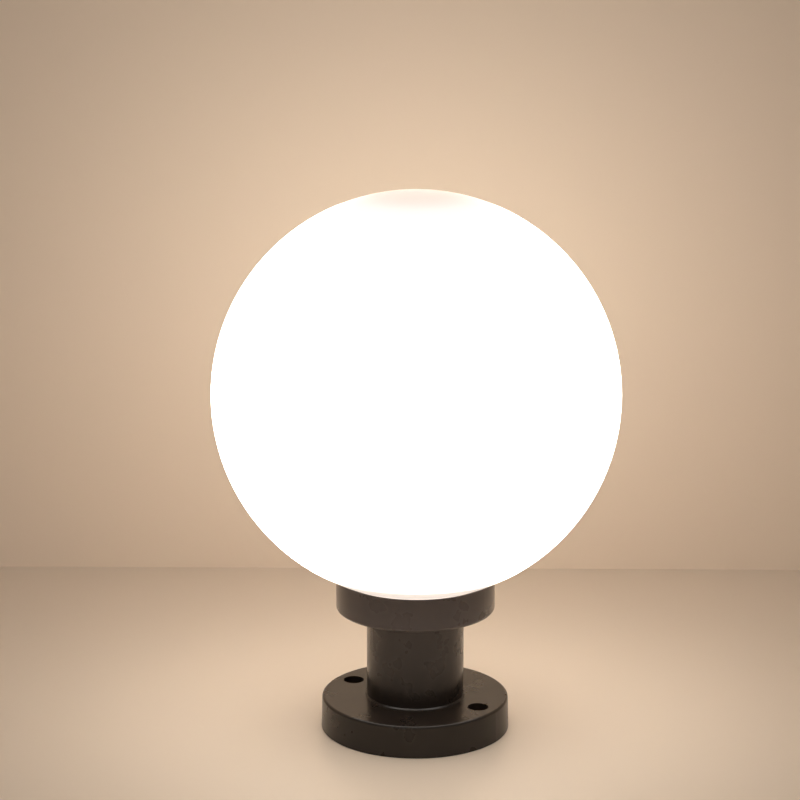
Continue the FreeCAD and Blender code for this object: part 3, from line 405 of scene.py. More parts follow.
@dataclass(frozen=True)
class Metal:
    """Bare or plated metal with the marks of its working and a little tarnish."""

    name: str
    colour: Colour
    tarnish: Colour
    working: Working = Working.PLAIN
    gloss: float = 0.28
    mark_depth: float = 0.006 * MM
    mark_share: float = 0.2
    mark_gloss: float = 0.12
    stain: float = 3 * MM
    stain_from: float = 0.45
    stain_full: float = 0.75
    stain_share: float = 0.6
    stain_gloss: float = 0.15

    def make(self) -> bpy.types.Material:
        """Builds the material.

        Returns:
            The material.
        """
        nodes = Nodes(self.name)
        marks = nodes.noise(1.0, 3, nodes.stretched(self.working.value))
        stains = nodes.noise(self.stain, 3).ramp(self.stain_from, self.stain_full)
        wear = stains * self.stain_share + marks * self.mark_share
        return nodes.finish(
            Base_Color=nodes.blend(wear, self.colour, self.tarnish),
            Metallic=1.0,
            Roughness=marks * self.mark_gloss + stains * self.stain_gloss + self.gloss,
            Normal=nodes.relief(marks, self.mark_depth),
        )


@dataclass(frozen=True)
class Moulded:
    """Moulded plastic or rubber, with a fine grain and slight unevenness."""

    name: str
    colour: Colour
    shade: Colour
    gloss: float = 0.45
    grain: float = 0.25 * MM
    grain_depth: float = 0.01 * MM
    grain_share: float = 0.3
    cloud: float = 5 * MM
    cloud_share: float = 0.5
    cloud_gloss: float = 0.08

    def make(self) -> bpy.types.Material:
        """Builds the material.

        Returns:
            The material.
        """
        nodes = Nodes(self.name)
        cloud = nodes.noise(self.cloud, 3)
        grain = nodes.noise(self.grain, 2)
        shading = cloud * self.cloud_share + grain * self.grain_share
        return nodes.finish(
            Base_Color=nodes.blend(shading, self.colour, self.shade),
            Roughness=cloud * self.cloud_gloss + self.gloss,
            Normal=nodes.relief(grain, self.grain_depth),
            IOR=1.5,
        )


@dataclass(frozen=True)
class Foam:
    """Closed-cell foam, pitted by cut cells, with painted shade darkening the pits."""

    name: str = "gasket_foam"
    colour: Colour = tint(52, 52, 53)
    # painted shade in the cut cells
    painted_pit_shade: Colour = tint(22, 22, 23)
    cell: float = 0.5 * MM
    pit_shade_from: float = 0.75
    pit_shade_full: float = 0.2
    pit_depth: float = 0.12 * MM
    gloss: float = 0.9

    def make(self) -> bpy.types.Material:
        """Builds the material.

        Returns:
            The material.
        """
        nodes = Nodes(self.name)
        wall = nodes.cells(self.cell)
        return nodes.finish(
            # painted shade darkens the middles of the cells, where the bump sinks
            Base_Color=nodes.blend(wall.ramp(self.pit_shade_from, self.pit_shade_full), self.colour, self.painted_pit_shade),
            Roughness=self.gloss,
            Normal=nodes.relief(wall, self.pit_depth),
        )


@dataclass(frozen=True)
class Sleeve:
    """Insulation of a lead, plain or with a second colour wound round it."""

    name: str
    colour: Colour
    stripe: Optional[Colour] = None
    stripe_width: float = 2.6 * MM
    stripe_edge: float = 0.03
    scuffed: Colour = tint(190, 185, 175)
    scuff: float = 1.5 * MM
    scuff_from: float = 0.5
    scuff_full: float = 0.8
    scuff_share: float = 0.25
    scuff_gloss: float = 0.2
    gloss: float = 0.38
    grain: float = 0.4 * MM
    grain_depth: float = 0.008 * MM

    def make(self) -> bpy.types.Material:
        """Builds the material.

        Returns:
            The material.
        """
        nodes = Nodes(self.name)
        x, y, z = nodes.axes()
        scuff = nodes.noise(self.scuff, 3).ramp(self.scuff_from, self.scuff_full)
        colour: Any = self.colour
        if self.stripe:
            along = (x - y + z) / self.stripe_width
            wave = along.maths("FRACT", along)
            edge = wave.ramp(0.5 - self.stripe_edge, 0.5 + self.stripe_edge)
            colour = nodes.blend(edge, self.colour, self.stripe)
        return nodes.finish(
            Base_Color=nodes.blend(scuff * self.scuff_share, colour, self.scuffed),
            Roughness=scuff * self.scuff_gloss + self.gloss,
            Normal=nodes.relief(nodes.noise(self.grain, 2), self.grain_depth),
        )


@dataclass(frozen=True)
class CircuitBoard:
    """Green board with paler copper tracks under its mask."""

    name: str = "circuit_board"
    mask: Colour = tint(24, 84, 44)
    track: Colour = tint(66, 128, 66)
    spacing: float = 3.2 * MM
    track_from: float = 0.06
    track_full: float = 0.1
    track_depth: float = 0.03 * MM
    gloss: float = 0.35
    track_gloss: float = 0.08

    def make(self) -> bpy.types.Material:
        """Builds the material.

        Returns:
            The material.
        """
        nodes = Nodes(self.name)
        edges = nodes.cells(self.spacing, "DISTANCE_TO_EDGE")
        tracks = edges.ramp(self.track_from, self.track_full)
        return nodes.finish(
            Base_Color=nodes.blend(tracks, self.mask, self.track),
            Roughness=self.gloss - tracks * self.track_gloss,
            Normal=nodes.relief(tracks, self.track_depth),
        )


@dataclass(frozen=True)
class Phosphor:
    """Yellow phosphor under clear silicone, lit."""

    name: str = "led_phosphor"
    colour: Colour = tint(240, 196, 60)
    pale: Colour = tint(255, 222, 120)
    pale_share: float = 0.4
    warm_light: Colour = (1.0, 0.86, 0.55, 1.0)
    pale_light: Colour = (1.0, 0.93, 0.72, 1.0)
    strength: float = 1.0
    grain: float = 0.2 * MM
    gloss: float = 0.15
    gloss_change: float = 0.1

    def make(self) -> bpy.types.Material:
        """Builds the material.

        Returns:
            The material.
        """
        nodes = Nodes(self.name)
        grain = nodes.noise(self.grain, 2)
        return nodes.finish(
            Base_Color=nodes.blend(grain * self.pale_share, self.colour, self.pale),
            Emission_Color=nodes.blend(grain, self.warm_light, self.pale_light),
            Emission_Strength=self.strength,
            Roughness=grain * self.gloss_change + self.gloss,
        )


@dataclass(frozen=True)
class StudioPaper:
    """Plain warm paper of the floor and backdrop."""

    name: str
    colour: Colour
    shade: Colour
    gloss: float
    drift: float = 600 * MM
    drift_share: float = 0.25
    fibre: float = 2 * MM
    fibre_share: float = 0.1
    fibre_depth: float = 0.01 * MM

    def make(self) -> bpy.types.Material:
        """Builds the material.

        Returns:
            The material.
        """
        nodes = Nodes(self.name)
        drift = nodes.noise(self.drift, 2)
        fibre = nodes.noise(self.fibre, 2)
        shading = drift * self.drift_share + fibre * self.fibre_share
        return nodes.finish(
            Base_Color=nodes.blend(shading, self.colour, self.shade),
            Roughness=self.gloss,
            Normal=nodes.relief(fibre, self.fibre_depth),
        )


ZINC = Metal("zinc_plate", tint(205, 207, 210), tint(160, 160, 150), Working.PLAIN, 0.3)
ZINC_TURNED = Metal("zinc_turned", tint(205, 207, 210), tint(160, 160, 150), Working.TURNED, 0.28)
BRASS = Metal("plain_brass", tint(214, 178, 98), tint(150, 112, 56), Working.PLAIN, 0.25)
NICKEL = Metal("nickel_plate", tint(206, 200, 184), tint(170, 160, 140), Working.TURNED, 0.2)
SPRING_STEEL = Metal("spring_steel", tint(170, 172, 176), tint(110, 108, 106), Working.DRAWN, 0.3)
SOLDER = Metal("solder", tint(176, 178, 180), tint(120, 120, 118), Working.PLAIN, 0.4, 0.04 * MM)
TINNED = Metal("tinned_copper", tint(200, 196, 188), tint(170, 130, 100), Working.DRAWN, 0.35)
CERAMIC = Moulded("core_ceramic", tint(236, 232, 222), tint(206, 200, 188), 0.55, 0.3 * MM, 0.02 * MM)
HOLDER_PLASTIC = Moulded("holder_plastic", tint(40, 40, 41), tint(28, 28, 29), 0.42)
BLOCK_NYLON = Moulded("block_nylon", tint(228, 226, 216), tint(206, 202, 188), 0.4)
CLAMP_NYLON = Moulded("clamp_nylon", tint(220, 219, 214), tint(196, 194, 186), 0.45)
SILICONE = Moulded("silicone", tint(206, 202, 194), tint(184, 179, 170), 0.5)
BULB_WHITE = Moulded("bulb_white", tint(240, 240, 237), tint(226, 226, 221), 0.3)
BULB_BLACK = Moulded("bulb_black", tint(22, 22, 22), tint(34, 33, 32), 0.12)
LED_PLATE = Moulded("led_plate_mask", tint(244, 244, 240), tint(226, 226, 220), 0.35)
DRIVER = Moulded("driver_parts", tint(34, 34, 40), tint(20, 20, 24), 0.3)
RESISTOR = Moulded("resistor_lacquer", tint(206, 184, 140), tint(186, 160, 116), 0.35)
COPPER = Metal("enamelled_copper", tint(200, 110, 62), tint(150, 74, 40), Working.DRAWN, 0.25)
FLOOR_PAPER = StudioPaper("floor_paper", tint(221, 203, 183), tint(215, 196, 176), 0.3)
WALL_PAPER = StudioPaper("wall_paper", tint(228, 206, 182), tint(222, 199, 176), 0.85)


def dress(finish: Any, *names: str) -> None:
    """Gives a finish to modelled pieces.

    Args:
        finish: the finish, which has a make method.
        names: names of the modelled pieces.
    """
    material = finish.make()
    for name in names:
        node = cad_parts[name]
        node.data.materials.clear()
        node.data.materials.append(material)
        for face in node.data.polygons:
            face.material_index = 0
        LOG.info("%s: %s", name, material.name)


def dress_opal(name: str, piece: str) -> None:
    """Gives a lit opal finish to a modelled piece whose top is a ball.

    Args:
        name: the finish's name.
        piece: name of the modelled piece.
    """
    low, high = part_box(piece)
    radius = (high.x - low.x) / 2
    dress(OpalShell(name, high.z - radius, radius), piece)


# ------------------------------------------------------------------------------ mesh building
class Form:
    """A mesh in the making, of closed rings of points joined by bands, in metres."""

    def __init__(self) -> None:
        """Starts an empty form."""
        self.mesh = bmesh.new()

    def ring(self, points: Sequence[Point]) -> List[Any]:
        """Adds the corners of one ring, without faces."""
        return [self.mesh.verts.new(point) for point in points]

    def band(self, first: List[Any], second: List[Any]) -> None:
        """Joins two rings of as many corners with a band of quads.

        Args:
            first: corners of one ring, in order.
            second: corners of the other ring.
        """
        count = len(first)
        for k in range(count):
            after = (k + 1) % count
            self.mesh.faces.new((first[k], first[after], second[after], second[k]))

    def skin(self, rings: Sequence[Sequence[Point]], closed: bool) -> None:
        """Lays a skin over rings in order.

        Args:
            rings: the rings' points.
            closed: whether the last ring joins the first, as on a tube; otherwise both ends
                get a flat cap.
        """
        made = [self.ring(points) for points in rings]
        for first, second in zip(made, made[1:]):
            self.band(first, second)
        if closed:
            self.band(made[-1], made[0])
        else:
            self.mesh.faces.new(made[0])
            self.mesh.faces.new(made[-1])

    def turned(self, outline: Sequence[Pair], at: Point = (0, 0, 0),
               closed: bool = False, sides: int = 48) -> None:
        """Turns an outline of radii and heights about an upright axis.

        Args:
            outline: pairs of radius and height, in metres.
            at: foot of the axis.
            closed: whether the outline closes on itself, as for a ring.
            sides: corners of each ring.
        """
        turns = [math.tau * k / sides for k in range(sides)]
        self.skin([[(at[0] + r * math.cos(t), at[1] + r * math.sin(t), at[2] + z) for t in turns]
                   for r, z in outline], closed)

    def slab(self, low: Point, high: Point, bevel: float = 0.0) -> None:
        """Adds a box, whose upright edges and top edges can be bevelled.

        Args:
            low: its lowest corner.
            high: its highest corner.
            bevel: width of the bevel.
        """
        rings = []
        for inset, z in ((0.0, low[2]), (0.0, high[2] - bevel), (bevel, high[2])):
            x0, x1 = low[0] + inset, high[0] - inset
            y0, y1 = low[1] + inset, high[1] - inset
            rings.append([(x0 + bevel, y0, z), (x1 - bevel, y0, z), (x1, y0 + bevel, z),
                          (x1, y1 - bevel, z), (x1 - bevel, y1, z), (x0 + bevel, y1, z),
                          (x0, y1 - bevel, z), (x0, y0 + bevel, z)])
        self.skin(rings if bevel else [rings[0], rings[-1]], False)

    def moved(self, start: int, turn: float, shift: Point) -> None:
        """Turns corners about Z, then shifts them.

        Args:
            start: the first corner's number; those after it move too.
            turn: the angle, in radians.
            shift: how far they move.
        """
        self.mesh.verts.ensure_lookup_table()
        matrix = Matrix.Translation(shift) @ Matrix.Rotation(turn, 4, "Z")
        bmesh.ops.transform(self.mesh, matrix=matrix, verts=self.mesh.verts[start:])

    def piece(self, name: str, finish: Any, body: str, slot: str, *stands_for: str,
              crease: float = 35.0) -> bpy.types.Object:
        """Makes the form a piece of the light.

        Args:
            name: the piece's name.
            finish: its finish, which has a make method.
            body: the body that it rides on.
            slot: the record's material slot, which is not used here.
            stands_for: modelled pieces that it replaces.
            crease: edges sharper than this, in degrees, stay sharp.

        Returns:
            The piece.
        """
        bmesh.ops.remove_doubles(self.mesh, verts=self.mesh.verts[:], dist=WELD)
        bmesh.ops.recalc_face_normals(self.mesh, faces=self.mesh.faces[:])
        mesh = bpy.data.meshes.new(name)
        self.mesh.to_mesh(mesh)
        self.mesh.free()
        mesh.shade_smooth()
        mesh.set_sharp_from_angle(angle=math.radians(crease))
        mesh.materials.append(finish.make())
        made = bpy.data.objects.new(name, mesh)
        bpy.context.scene.collection.objects.link(made)
        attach(made, body)
        if stands_for:
            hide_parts(*stands_for)
        LOG.info("%s: %s, %d faces", name, finish.name, len(mesh.polygons))
        return made


@dataclass
class RolledThread:
    """Tube whose wall waves as a screw thread, such as rolled sheet or a threaded rod."""

    mean: float
    depth: float
    pitch: float
    reference: float
    low: float
    high: float
    fade: float
    sharpness: float = 1.0
    sides: int = 72
    rows_per_turn: int = 10

    def wave(self, turn: float, z: float) -> float:
        """The wall's radius at an angle and a height.

        Args:
            turn: the angle, in radians.
            z: the height.

        Returns:
            The radius, in metres.
        """
        phase = math.cos(math.tau * (z - self.reference) / self.pitch - turn)
        shaped = math.copysign(abs(phase) ** self.sharpness, phase)
        edge = min(1.0, max(0.0, min(z - self.low, self.high - z) / self.fade))
        rest = -1.0 if self.depth > 0 else 1.0
        blend = edge * edge * (3 - 2 * edge)
        return self.mean + abs(self.depth) / 2 * (shaped * blend + rest * (1 - blend))

    def wall(self) -> List[List[Point]]:
        """Lays out the threaded wall.

        Returns:
            Rings of points from low to high.
        """
        rows = max(2, round((self.high - self.low) / self.pitch * self.rows_per_turn))
        turns = [math.tau * k / self.sides for k in range(self.sides)]
        rings = []
        for row in range(rows + 1):
            z = self.low + (self.high - self.low) * row / rows
            radii = [self.wave(turn, z) for turn in turns]
            rings.append([(r * math.cos(t), r * math.sin(t), z) for r, t in zip(radii, turns)])
        return rings

    def plain(self, radius: float, low: float, high: float) -> List[List[Point]]:
        """Lays out a plain wall.

        Args:
            radius: its radius.
            low: height of its first ring.
            high: height of its second ring.

        Returns:
            The two rings.
        """
        turns = [math.tau * k / self.sides for k in range(self.sides)]
        return [[(radius * math.cos(t), radius * math.sin(t), z) for t in turns]
                for z in (low, high)]

    def offset(self, rings: List[List[Point]], by: float) -> List[List[Point]]:
        """Moves rings in or out.

        Args:
            rings: the rings.
            by: how much is added to every radius.

        Returns:
            The moved rings.
        """
        out = []
        for ring in rings:
            factors = [1 + by / math.hypot(x, y) for x, y, _ in ring]
            out.append([(x * f, y * f, z) for (x, y, z), f in zip(ring, factors)])
        return out


# ------------------------------------------------------------------------------ sub-assemblies
@dataclass
class Pedestal:
    """Flange, column and cup, with the foam ring under the flange and the seal in the cup."""

    coat: BlackCoat = BlackCoat()

    def build(self) -> None:
        """Dresses the shells that stand under the globe."""
        dress(self.coat, "base_flange", "neck_tube", "fitter_cup")
        dress(Foam(), "base_gasket")
        dress(SILICONE, "globe_seal")


@dataclass
class Globe:
    """The opal globe."""

    def build(self) -> None:
        """Dresses the globe."""
        dress_opal("opal_globe", "globe")


@dataclass
class TieRod:
    """Hollow threaded rod with its nuts and washers."""

    radius: float = 4.99 * MM
    bore: float = 3.6 * MM
    pitch: float = 1.0 * MM
    thread_depth: float = 0.54 * MM
    run_out: float = 1.0 * MM
    sides: int = 32
    rows_per_turn: int = 6
    crease: float = 60.0

    def rod(self) -> None:
        """Makes the rod, threaded from end to end, in place of the plain one."""
        low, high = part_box("tie_rod")
        thread = RolledThread(
            mean=self.radius - self.thread_depth / 2, depth=self.thread_depth, pitch=self.pitch,
            reference=low.z, low=low.z, high=high.z, fade=self.run_out, sides=self.sides,
            rows_per_turn=self.rows_per_turn)
        form = Form()
        form.skin(thread.wall() + thread.plain(self.bore, high.z, low.z), True)
        form.piece("threaded_rod", ZINC_TURNED, "stand", "zinc_steel", "tie_rod",
                   crease=self.crease)

    def build(self) -> None:
        """Makes the rod and dresses what is on it."""
        self.rod()
        dress(ZINC_TURNED, "rod_top_washer", "rod_bottom_washer")
        dress(ZINC, "rod_top_nut", "rod_bottom_nut")


@dataclass(frozen=True)
class LampThread:
    """The thread that the bulb and the lampholder share."""

    pitch: float = 3.629 * MM
    depth: float = 1.05 * MM
    shell_root: float = 13.35 * MM
    cap_root: float = 12.05 * MM
    sheet: float = 0.4 * MM
    shell_ridge_up: float = 1.1 * MM
    shell_run_out: float = 0.5
    cap_run_out: float = 0.6

    def widest(self) -> float:
        """Height at which both threads are widest on the X axis, midway between shell ridges."""
        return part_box("holder_screw_shell")[0].z + self.shell_ridge_up + self.pitch / 2


@dataclass
class Lampholder:
    """The lampholder with its contacts and terminals."""

    thread: LampThread = LampThread()
    spring_radius: float = 2.5 * MM
    spring_wire: float = 0.25 * MM
    spring_turns: float = 6.5
    spring_steps: int = 32
    spring_sides: int = 10
    closed_turns: float = 0.9
    plunger_travel: float = 0.8 * MM

    def screw_shell(self) -> None:
        """Makes the contact shell of rolled sheet, in place of the plain one."""
        low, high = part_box("holder_screw_shell")
        size = self.thread
        rolled = RolledThread(
            mean=size.shell_root - size.depth / 2, depth=-size.depth, pitch=size.pitch,
            reference=size.widest(), low=low.z, high=high.z,
            fade=size.pitch * size.shell_run_out)
        inner = rolled.wall()
        form = Form()
        form.skin(inner + rolled.offset(inner, size.sheet)[::-1], True)
        form.piece("rolled_shell", NICKEL, "stand", "plated_brass", "holder_screw_shell")

    def spring_rise(self, turns: float, room: float) -> float:
        """How far up the spring's wire is after a number of turns.

        Args:
            turns: turns from its lower end.
            room: height from the wire's middle at one end to its middle at the other.

        Returns:
            The height over the lower end, in metres.
        """
        closed = self.closed_turns * 2 * self.spring_wire
        slope = (room - 2 * closed) / (self.spring_turns - 2 * self.closed_turns)
        if turns < self.closed_turns:
            return turns * 2 * self.spring_wire
        if turns > self.spring_turns - self.closed_turns:
            return room - (self.spring_turns - turns) * 2 * self.spring_wire
        return closed + (turns - self.closed_turns) * slope

    def spring(self) -> None:
        """Makes the coil spring with closed ends."""
        low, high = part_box("holder_spring")
        room = high.z - low.z - 2 * self.spring_wire
        rings = []
        for step in range(round(self.spring_turns * self.spring_steps) + 1):
            turns = step / self.spring_steps
            turn = math.tau * turns
            rise = low.z + self.spring_wire + self.spring_rise(turns, room)
            ring = []
            for side in range(self.spring_sides):
                lean = math.tau * side / self.spring_sides
                reach = self.spring_radius + self.spring_wire * math.cos(lean)
                ring.append((reach * math.cos(turn), reach * math.sin(turn),
                             rise + self.spring_wire * math.sin(lean)))
            rings.append(ring)
        form = Form()
        form.skin(rings, False)
        coil = form.piece("coil_spring", SPRING_STEEL, "stand", "spring_steel", "holder_spring")
        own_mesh(coil)

    def build(self) -> None:
        """Makes the shell and the spring and dresses the rest of the lampholder."""
        self.screw_shell()
        self.spring()
        dress(HOLDER_PLASTIC, "holder_cap", "holder_skirt")
        dress(CERAMIC, "holder_core")
        dress(BRASS, "holder_side_contact", "holder_live_strap", "holder_plunger", "holder_terminals")
        dress(ZINC, "holder_grub_screw", "holder_terminal_screws")


@dataclass(frozen=True)
class LedChips:
    """The LED chips on their plate: a middle pair inside a ring."""

    count: int = 12
    ring: float = 17.0 * MM
    pair_y: float = 3.5 * MM
    half: Pair = (1.4 * MM, 1.75 * MM)
    height: float = 0.8 * MM
    rim: float = 0.3 * MM
    well: float = 0.8 * MM / 3
    lens_gap: float = 0.01 * MM
    lens_side_gap: float = 0.03 * MM
    lens_top: float = 0.736 * MM

    def places(self) -> List[Tuple[float, Point]]:
        """Works out where the chips lie.

        Returns:
            Angle and middle of each chip's foot.
        """
        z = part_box("bulb_led_chips")[0].z
        places = [(0.0, (0.0, side * self.pair_y, z)) for side in (-1, 1)]
        for k in range(self.count):
            turn = math.tau * k / self.count
            places.append((turn, (self.ring * math.cos(turn), self.ring * math.sin(turn), z)))
        return places

    def build(self) -> None:
        """Makes the chips: white frames with a phosphor lens in each."""
        frames, lenses = Form(), Form()
        (x, y), rim = self.half, self.rim
        outline = ((x, y, 0.0), (x, y, self.height), (x - rim, y - rim, self.height),
                   (x - rim, y - rim, self.well))
        a, b = x - rim - self.lens_side_gap, y - rim - self.lens_side_gap
        for turn, shift in self.places():
            start = len(frames.mesh.verts)
            frames.skin([[(-p, -q, z), (p, -q, z), (p, q, z), (-p, q, z)] for p, q, z in outline], False)
            frames.moved(start, turn, shift)
            start = len(lenses.mesh.verts)
            lenses.slab((-a, -b, self.well + self.lens_gap), (a, b, self.lens_top), rim / 2)
            lenses.moved(start, turn, shift)
        frames.piece("chip_frames", LED_PLATE, "bulb", "bulb_white", "bulb_led_chips")
        lenses.piece("chip_lenses", Phosphor(), "bulb", "led_phosphor")


@dataclass(frozen=True)
class Capacitor:
    """Capacitor of the driver: a sleeved can, crimped near its foot, on a saddle of glue.

    Heights named low and high are over the top of the threaded cap, and shares are of the radius.
    """

    radius: float = 4.0 * MM
    low: float = 14.0 * MM
    high: float = 26.0 * MM
    off_board: float = 0.4 * MM
    foot_share: float = 0.8
    foot_round: float = 0.6 * MM
    shoulder: float = 0.97
    crimp_share: float = 0.9
    crimp_up: float = 1.6 * MM
    crimp_half: float = 0.4 * MM
    top_round: float = 0.5 * MM
    shoulder_down: float = 0.15 * MM
    rim_share: float = 0.88
    lip_share: float = 0.84
    lip_down: float = 0.1 * MM
    lid_share: float = 0.83
    lid_down: float = 0.08 * MM
    lid_thickness: float = 0.22 * MM
    dimple_share: float = 0.3
    dimple_down: float = 0.12 * MM
    saddle_in: float = 2.0 * MM
    saddle_share: float = 0.5
    saddle_reach: float = 0.3
    saddle_bevel: float = 0.3 * MM

    def build(self, foot: float, board: float) -> None:
        """Makes the sleeve and the bare top.

        Args:
            foot: height of the threaded cap's top.
            board: half the board's thickness.
        """
        r, low, high = self.radius, self.low, self.high
        crimp = low + self.crimp_up
        at = (0.0, board + self.off_board + r, foot)
        sleeve, top = Form(), Form()
        sleeve.turned([(r * self.foot_share, low), (r * self.shoulder, low + self.foot_round / 3),
                       (r, low + self.foot_round), (r, crimp - self.crimp_half),
                       (r * self.crimp_share, crimp), (r, crimp + self.crimp_half),
                       (r, high - self.top_round), (r * self.shoulder, high - self.shoulder_down),
                       (r * self.rim_share, high), (r * self.lip_share, high - self.lip_down)], at)
        half, reach = r * self.saddle_share, board + self.off_board + r * self.saddle_reach
        sleeve.slab((-half, board, foot + low + self.saddle_in),
                    (half, reach, foot + high - self.saddle_in), self.saddle_bevel)
        lid = r * self.lid_share
        top.turned([(lid, high - self.lid_down - self.lid_thickness), (lid, high - self.lid_down),
                    (r * self.dimple_share, high - self.dimple_down)], at)
        sleeve.piece("capacitor_sleeve", DRIVER, "bulb", "driver_parts", "bulb_driver_parts")
        top.piece("capacitor_top", ZINC, "bulb", "led_plate_aluminium")


@dataclass(frozen=True)
class Choke:
    """Choke of the driver: a ferrite drum between two flanges, wound with copper."""

    low: float = 18.0 * MM
    high: float = 27.0 * MM
    deep: float = 6.4 * MM
    half: float = 5.0 * MM
    flange: float = 1.4 * MM
    flange_bevel: float = 0.2 * MM
    wound_in: float = 0.2 * MM
    core_share: float = 0.7
    turns: int = 12
    wire_points: Tuple[Pair, ...] = ((1.0, -0.9), (0.3, -0.6), (0.0, 0.0), (0.3, 0.6), (1.0, 0.9))

    def build(self, foot: float, board: float) -> None:
        """Makes the core and the winding.

        Args:
            foot: height of the threaded cap's top.
            board: half the board's thickness.
        """
        low, high, half = foot + self.low, foot + self.high, self.half
        y0, y1 = -board - self.deep, -board
        core, winding = Form(), Form()
        for z in (low, high - self.flange):
            core.slab((-half, y0, z), (half, y1, z + self.flange), self.flange_bevel)
        r = self.deep / 2 - self.wound_in
        inner = r * self.core_share
        span = high - low - 2 * self.flange
        wire = span / self.turns / 2
        outline = [(inner, low + self.flange)]
        for k in range(self.turns):
            z = low + self.flange + span * (k + 0.5) / self.turns
            outline += [(r - wire * inward, z + wire * up) for inward, up in self.wire_points]
        winding.turned(outline + [(inner, high - self.flange)], (0.0, (y0 + y1) / 2, 0.0), sides=32)
        core.piece("choke_core", DRIVER, "bulb", "driver_parts")
        winding.piece("choke_winding", COPPER, "bulb", "contact_brass")


@dataclass(frozen=True)
class Bridge:
    """Rectifier bridge of the driver, on four legs."""

    low: float = 3.0 * MM
    high: float = 8.0 * MM
    half: float = 3.0 * MM
    deep: float = 2.0 * MM
    off_board: float = 0.1 * MM
    bevel: float = 0.25 * MM
    leg_at: float = 2.1 * MM
    leg_half: float = 0.4 * MM
    leg_deep: float = 0.5 * MM
    leg_reach: float = 0.9 * MM
    leg_bevel: float = 0.05 * MM

    def build(self, foot: float, board: float) -> None:
        """Makes the body and the legs.

        Args:
            foot: height of the threaded cap's top.
            board: half the board's thickness.
        """
        low, high = foot + self.low, foot + self.high
        body, legs = Form(), Form()
        body.slab((-self.half, -board - self.deep, low), (self.half, -board - self.off_board, high),
                  self.bevel)
        for x in (-self.leg_at, self.leg_at):
            for z in (low, high):
                legs.slab((x - self.leg_half, -board - self.leg_deep, z - self.leg_reach),
                          (x + self.leg_half, -board, z + self.leg_reach), self.leg_bevel)
        body.piece("bridge_body", BULB_BLACK, "bulb", "driver_parts")
        legs.piece("bridge_legs", SOLDER, "bulb", "solder_tip")


@dataclass(frozen=True)
class Resistor:
    """Fusible resistor of the driver, of lacquered body and round caps, on its wire."""

    radius: float = 1.5 * MM
    length: float = 9.0 * MM
    half_outline: Tuple[Pair, ...] = ((0.25, 0.0), (0.25, 0.14), (0.8, 0.16), (1.0, 0.24),
                                       (1.0, 0.32), (0.86, 0.38))

    def build(self, foot: float, board: float) -> None:
        """Makes the resistor.

        Args:
            foot: height of the threaded cap's top.
            board: half the board's thickness.
        """
        r, top = self.radius, self.length
        upper = [(across, 1 - up) for across, up in reversed(self.half_outline)]
        outline = [(r * across, top * up) for across, up in (*self.half_outline, *upper)]
        body = Form()
        body.turned(outline, (0.0, board + r, foot), sides=24)
        body.piece("resistor_body", RESISTOR, "bulb", "driver_parts")


@dataclass
class Bulb:
    """The bulb, lit."""

    thread: LampThread = LampThread()
    chips: LedChips = LedChips()
    driver: Tuple[Any, ...] = (Capacitor(), Choke(), Bridge(), Resistor())

    def cap(self) -> None:
        """Makes the cap of rolled sheet, in place of the plain one."""
        low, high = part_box("bulb_cap")
        size = self.thread
        rolled = RolledThread(
            mean=size.cap_root + size.depth / 2, depth=size.depth, pitch=size.pitch,
            reference=size.widest(), low=low.z, high=high.z,
            fade=size.pitch * size.cap_run_out)
        outer = rolled.wall()
        inner = rolled.plain(size.cap_root - size.sheet, high.z, low.z)
        form = Form()
        form.skin(outer + inner, True)
        form.piece("rolled_cap", NICKEL, "bulb", "bulb_nickel", "bulb_cap")

    def build(self) -> None:
        """Makes the detailed pieces of the bulb and dresses the rest."""
        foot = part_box("bulb_cap")[1].z
        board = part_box("bulb_driver_board")[1].y
        self.cap()
        self.chips.build()
        for part in self.driver:
            part.build(foot, board)
        dress(SOLDER, "bulb_tip")
        dress(BULB_BLACK, "bulb_insulator")
        dress(BULB_WHITE, "bulb_housing")
        dress(LED_PLATE, "bulb_led_plate")
        dress(CircuitBoard(), "bulb_driver_board")
        dress_opal("bulb_opal", "bulb_diffuser")


@dataclass
class Wiring:
    """Terminal block, leads, earth screw and cord clamp under the flange."""

    def build(self) -> None:
        """Dresses the wiring."""
        dress(Sleeve("brown_lead", tint(112, 66, 38)), "live_lead")
        dress(Sleeve("blue_lead", tint(44, 96, 178)), "neutral_lead")
        dress(Sleeve("earth_sleeve", tint(62, 150, 60), tint(232, 208, 50)), "earth_lead")
        dress(TINNED, "earth_ring_terminal")
        dress(ZINC, "earth_washer", "earth_screw", "terminal_block_screws",
              "terminal_block_fixing_screw", "cord_clamp_screws")
        dress(BRASS, "terminal_tubes")
        dress(BLOCK_NYLON, "terminal_block")
        dress(CLAMP_NYLON, "cord_clamp")


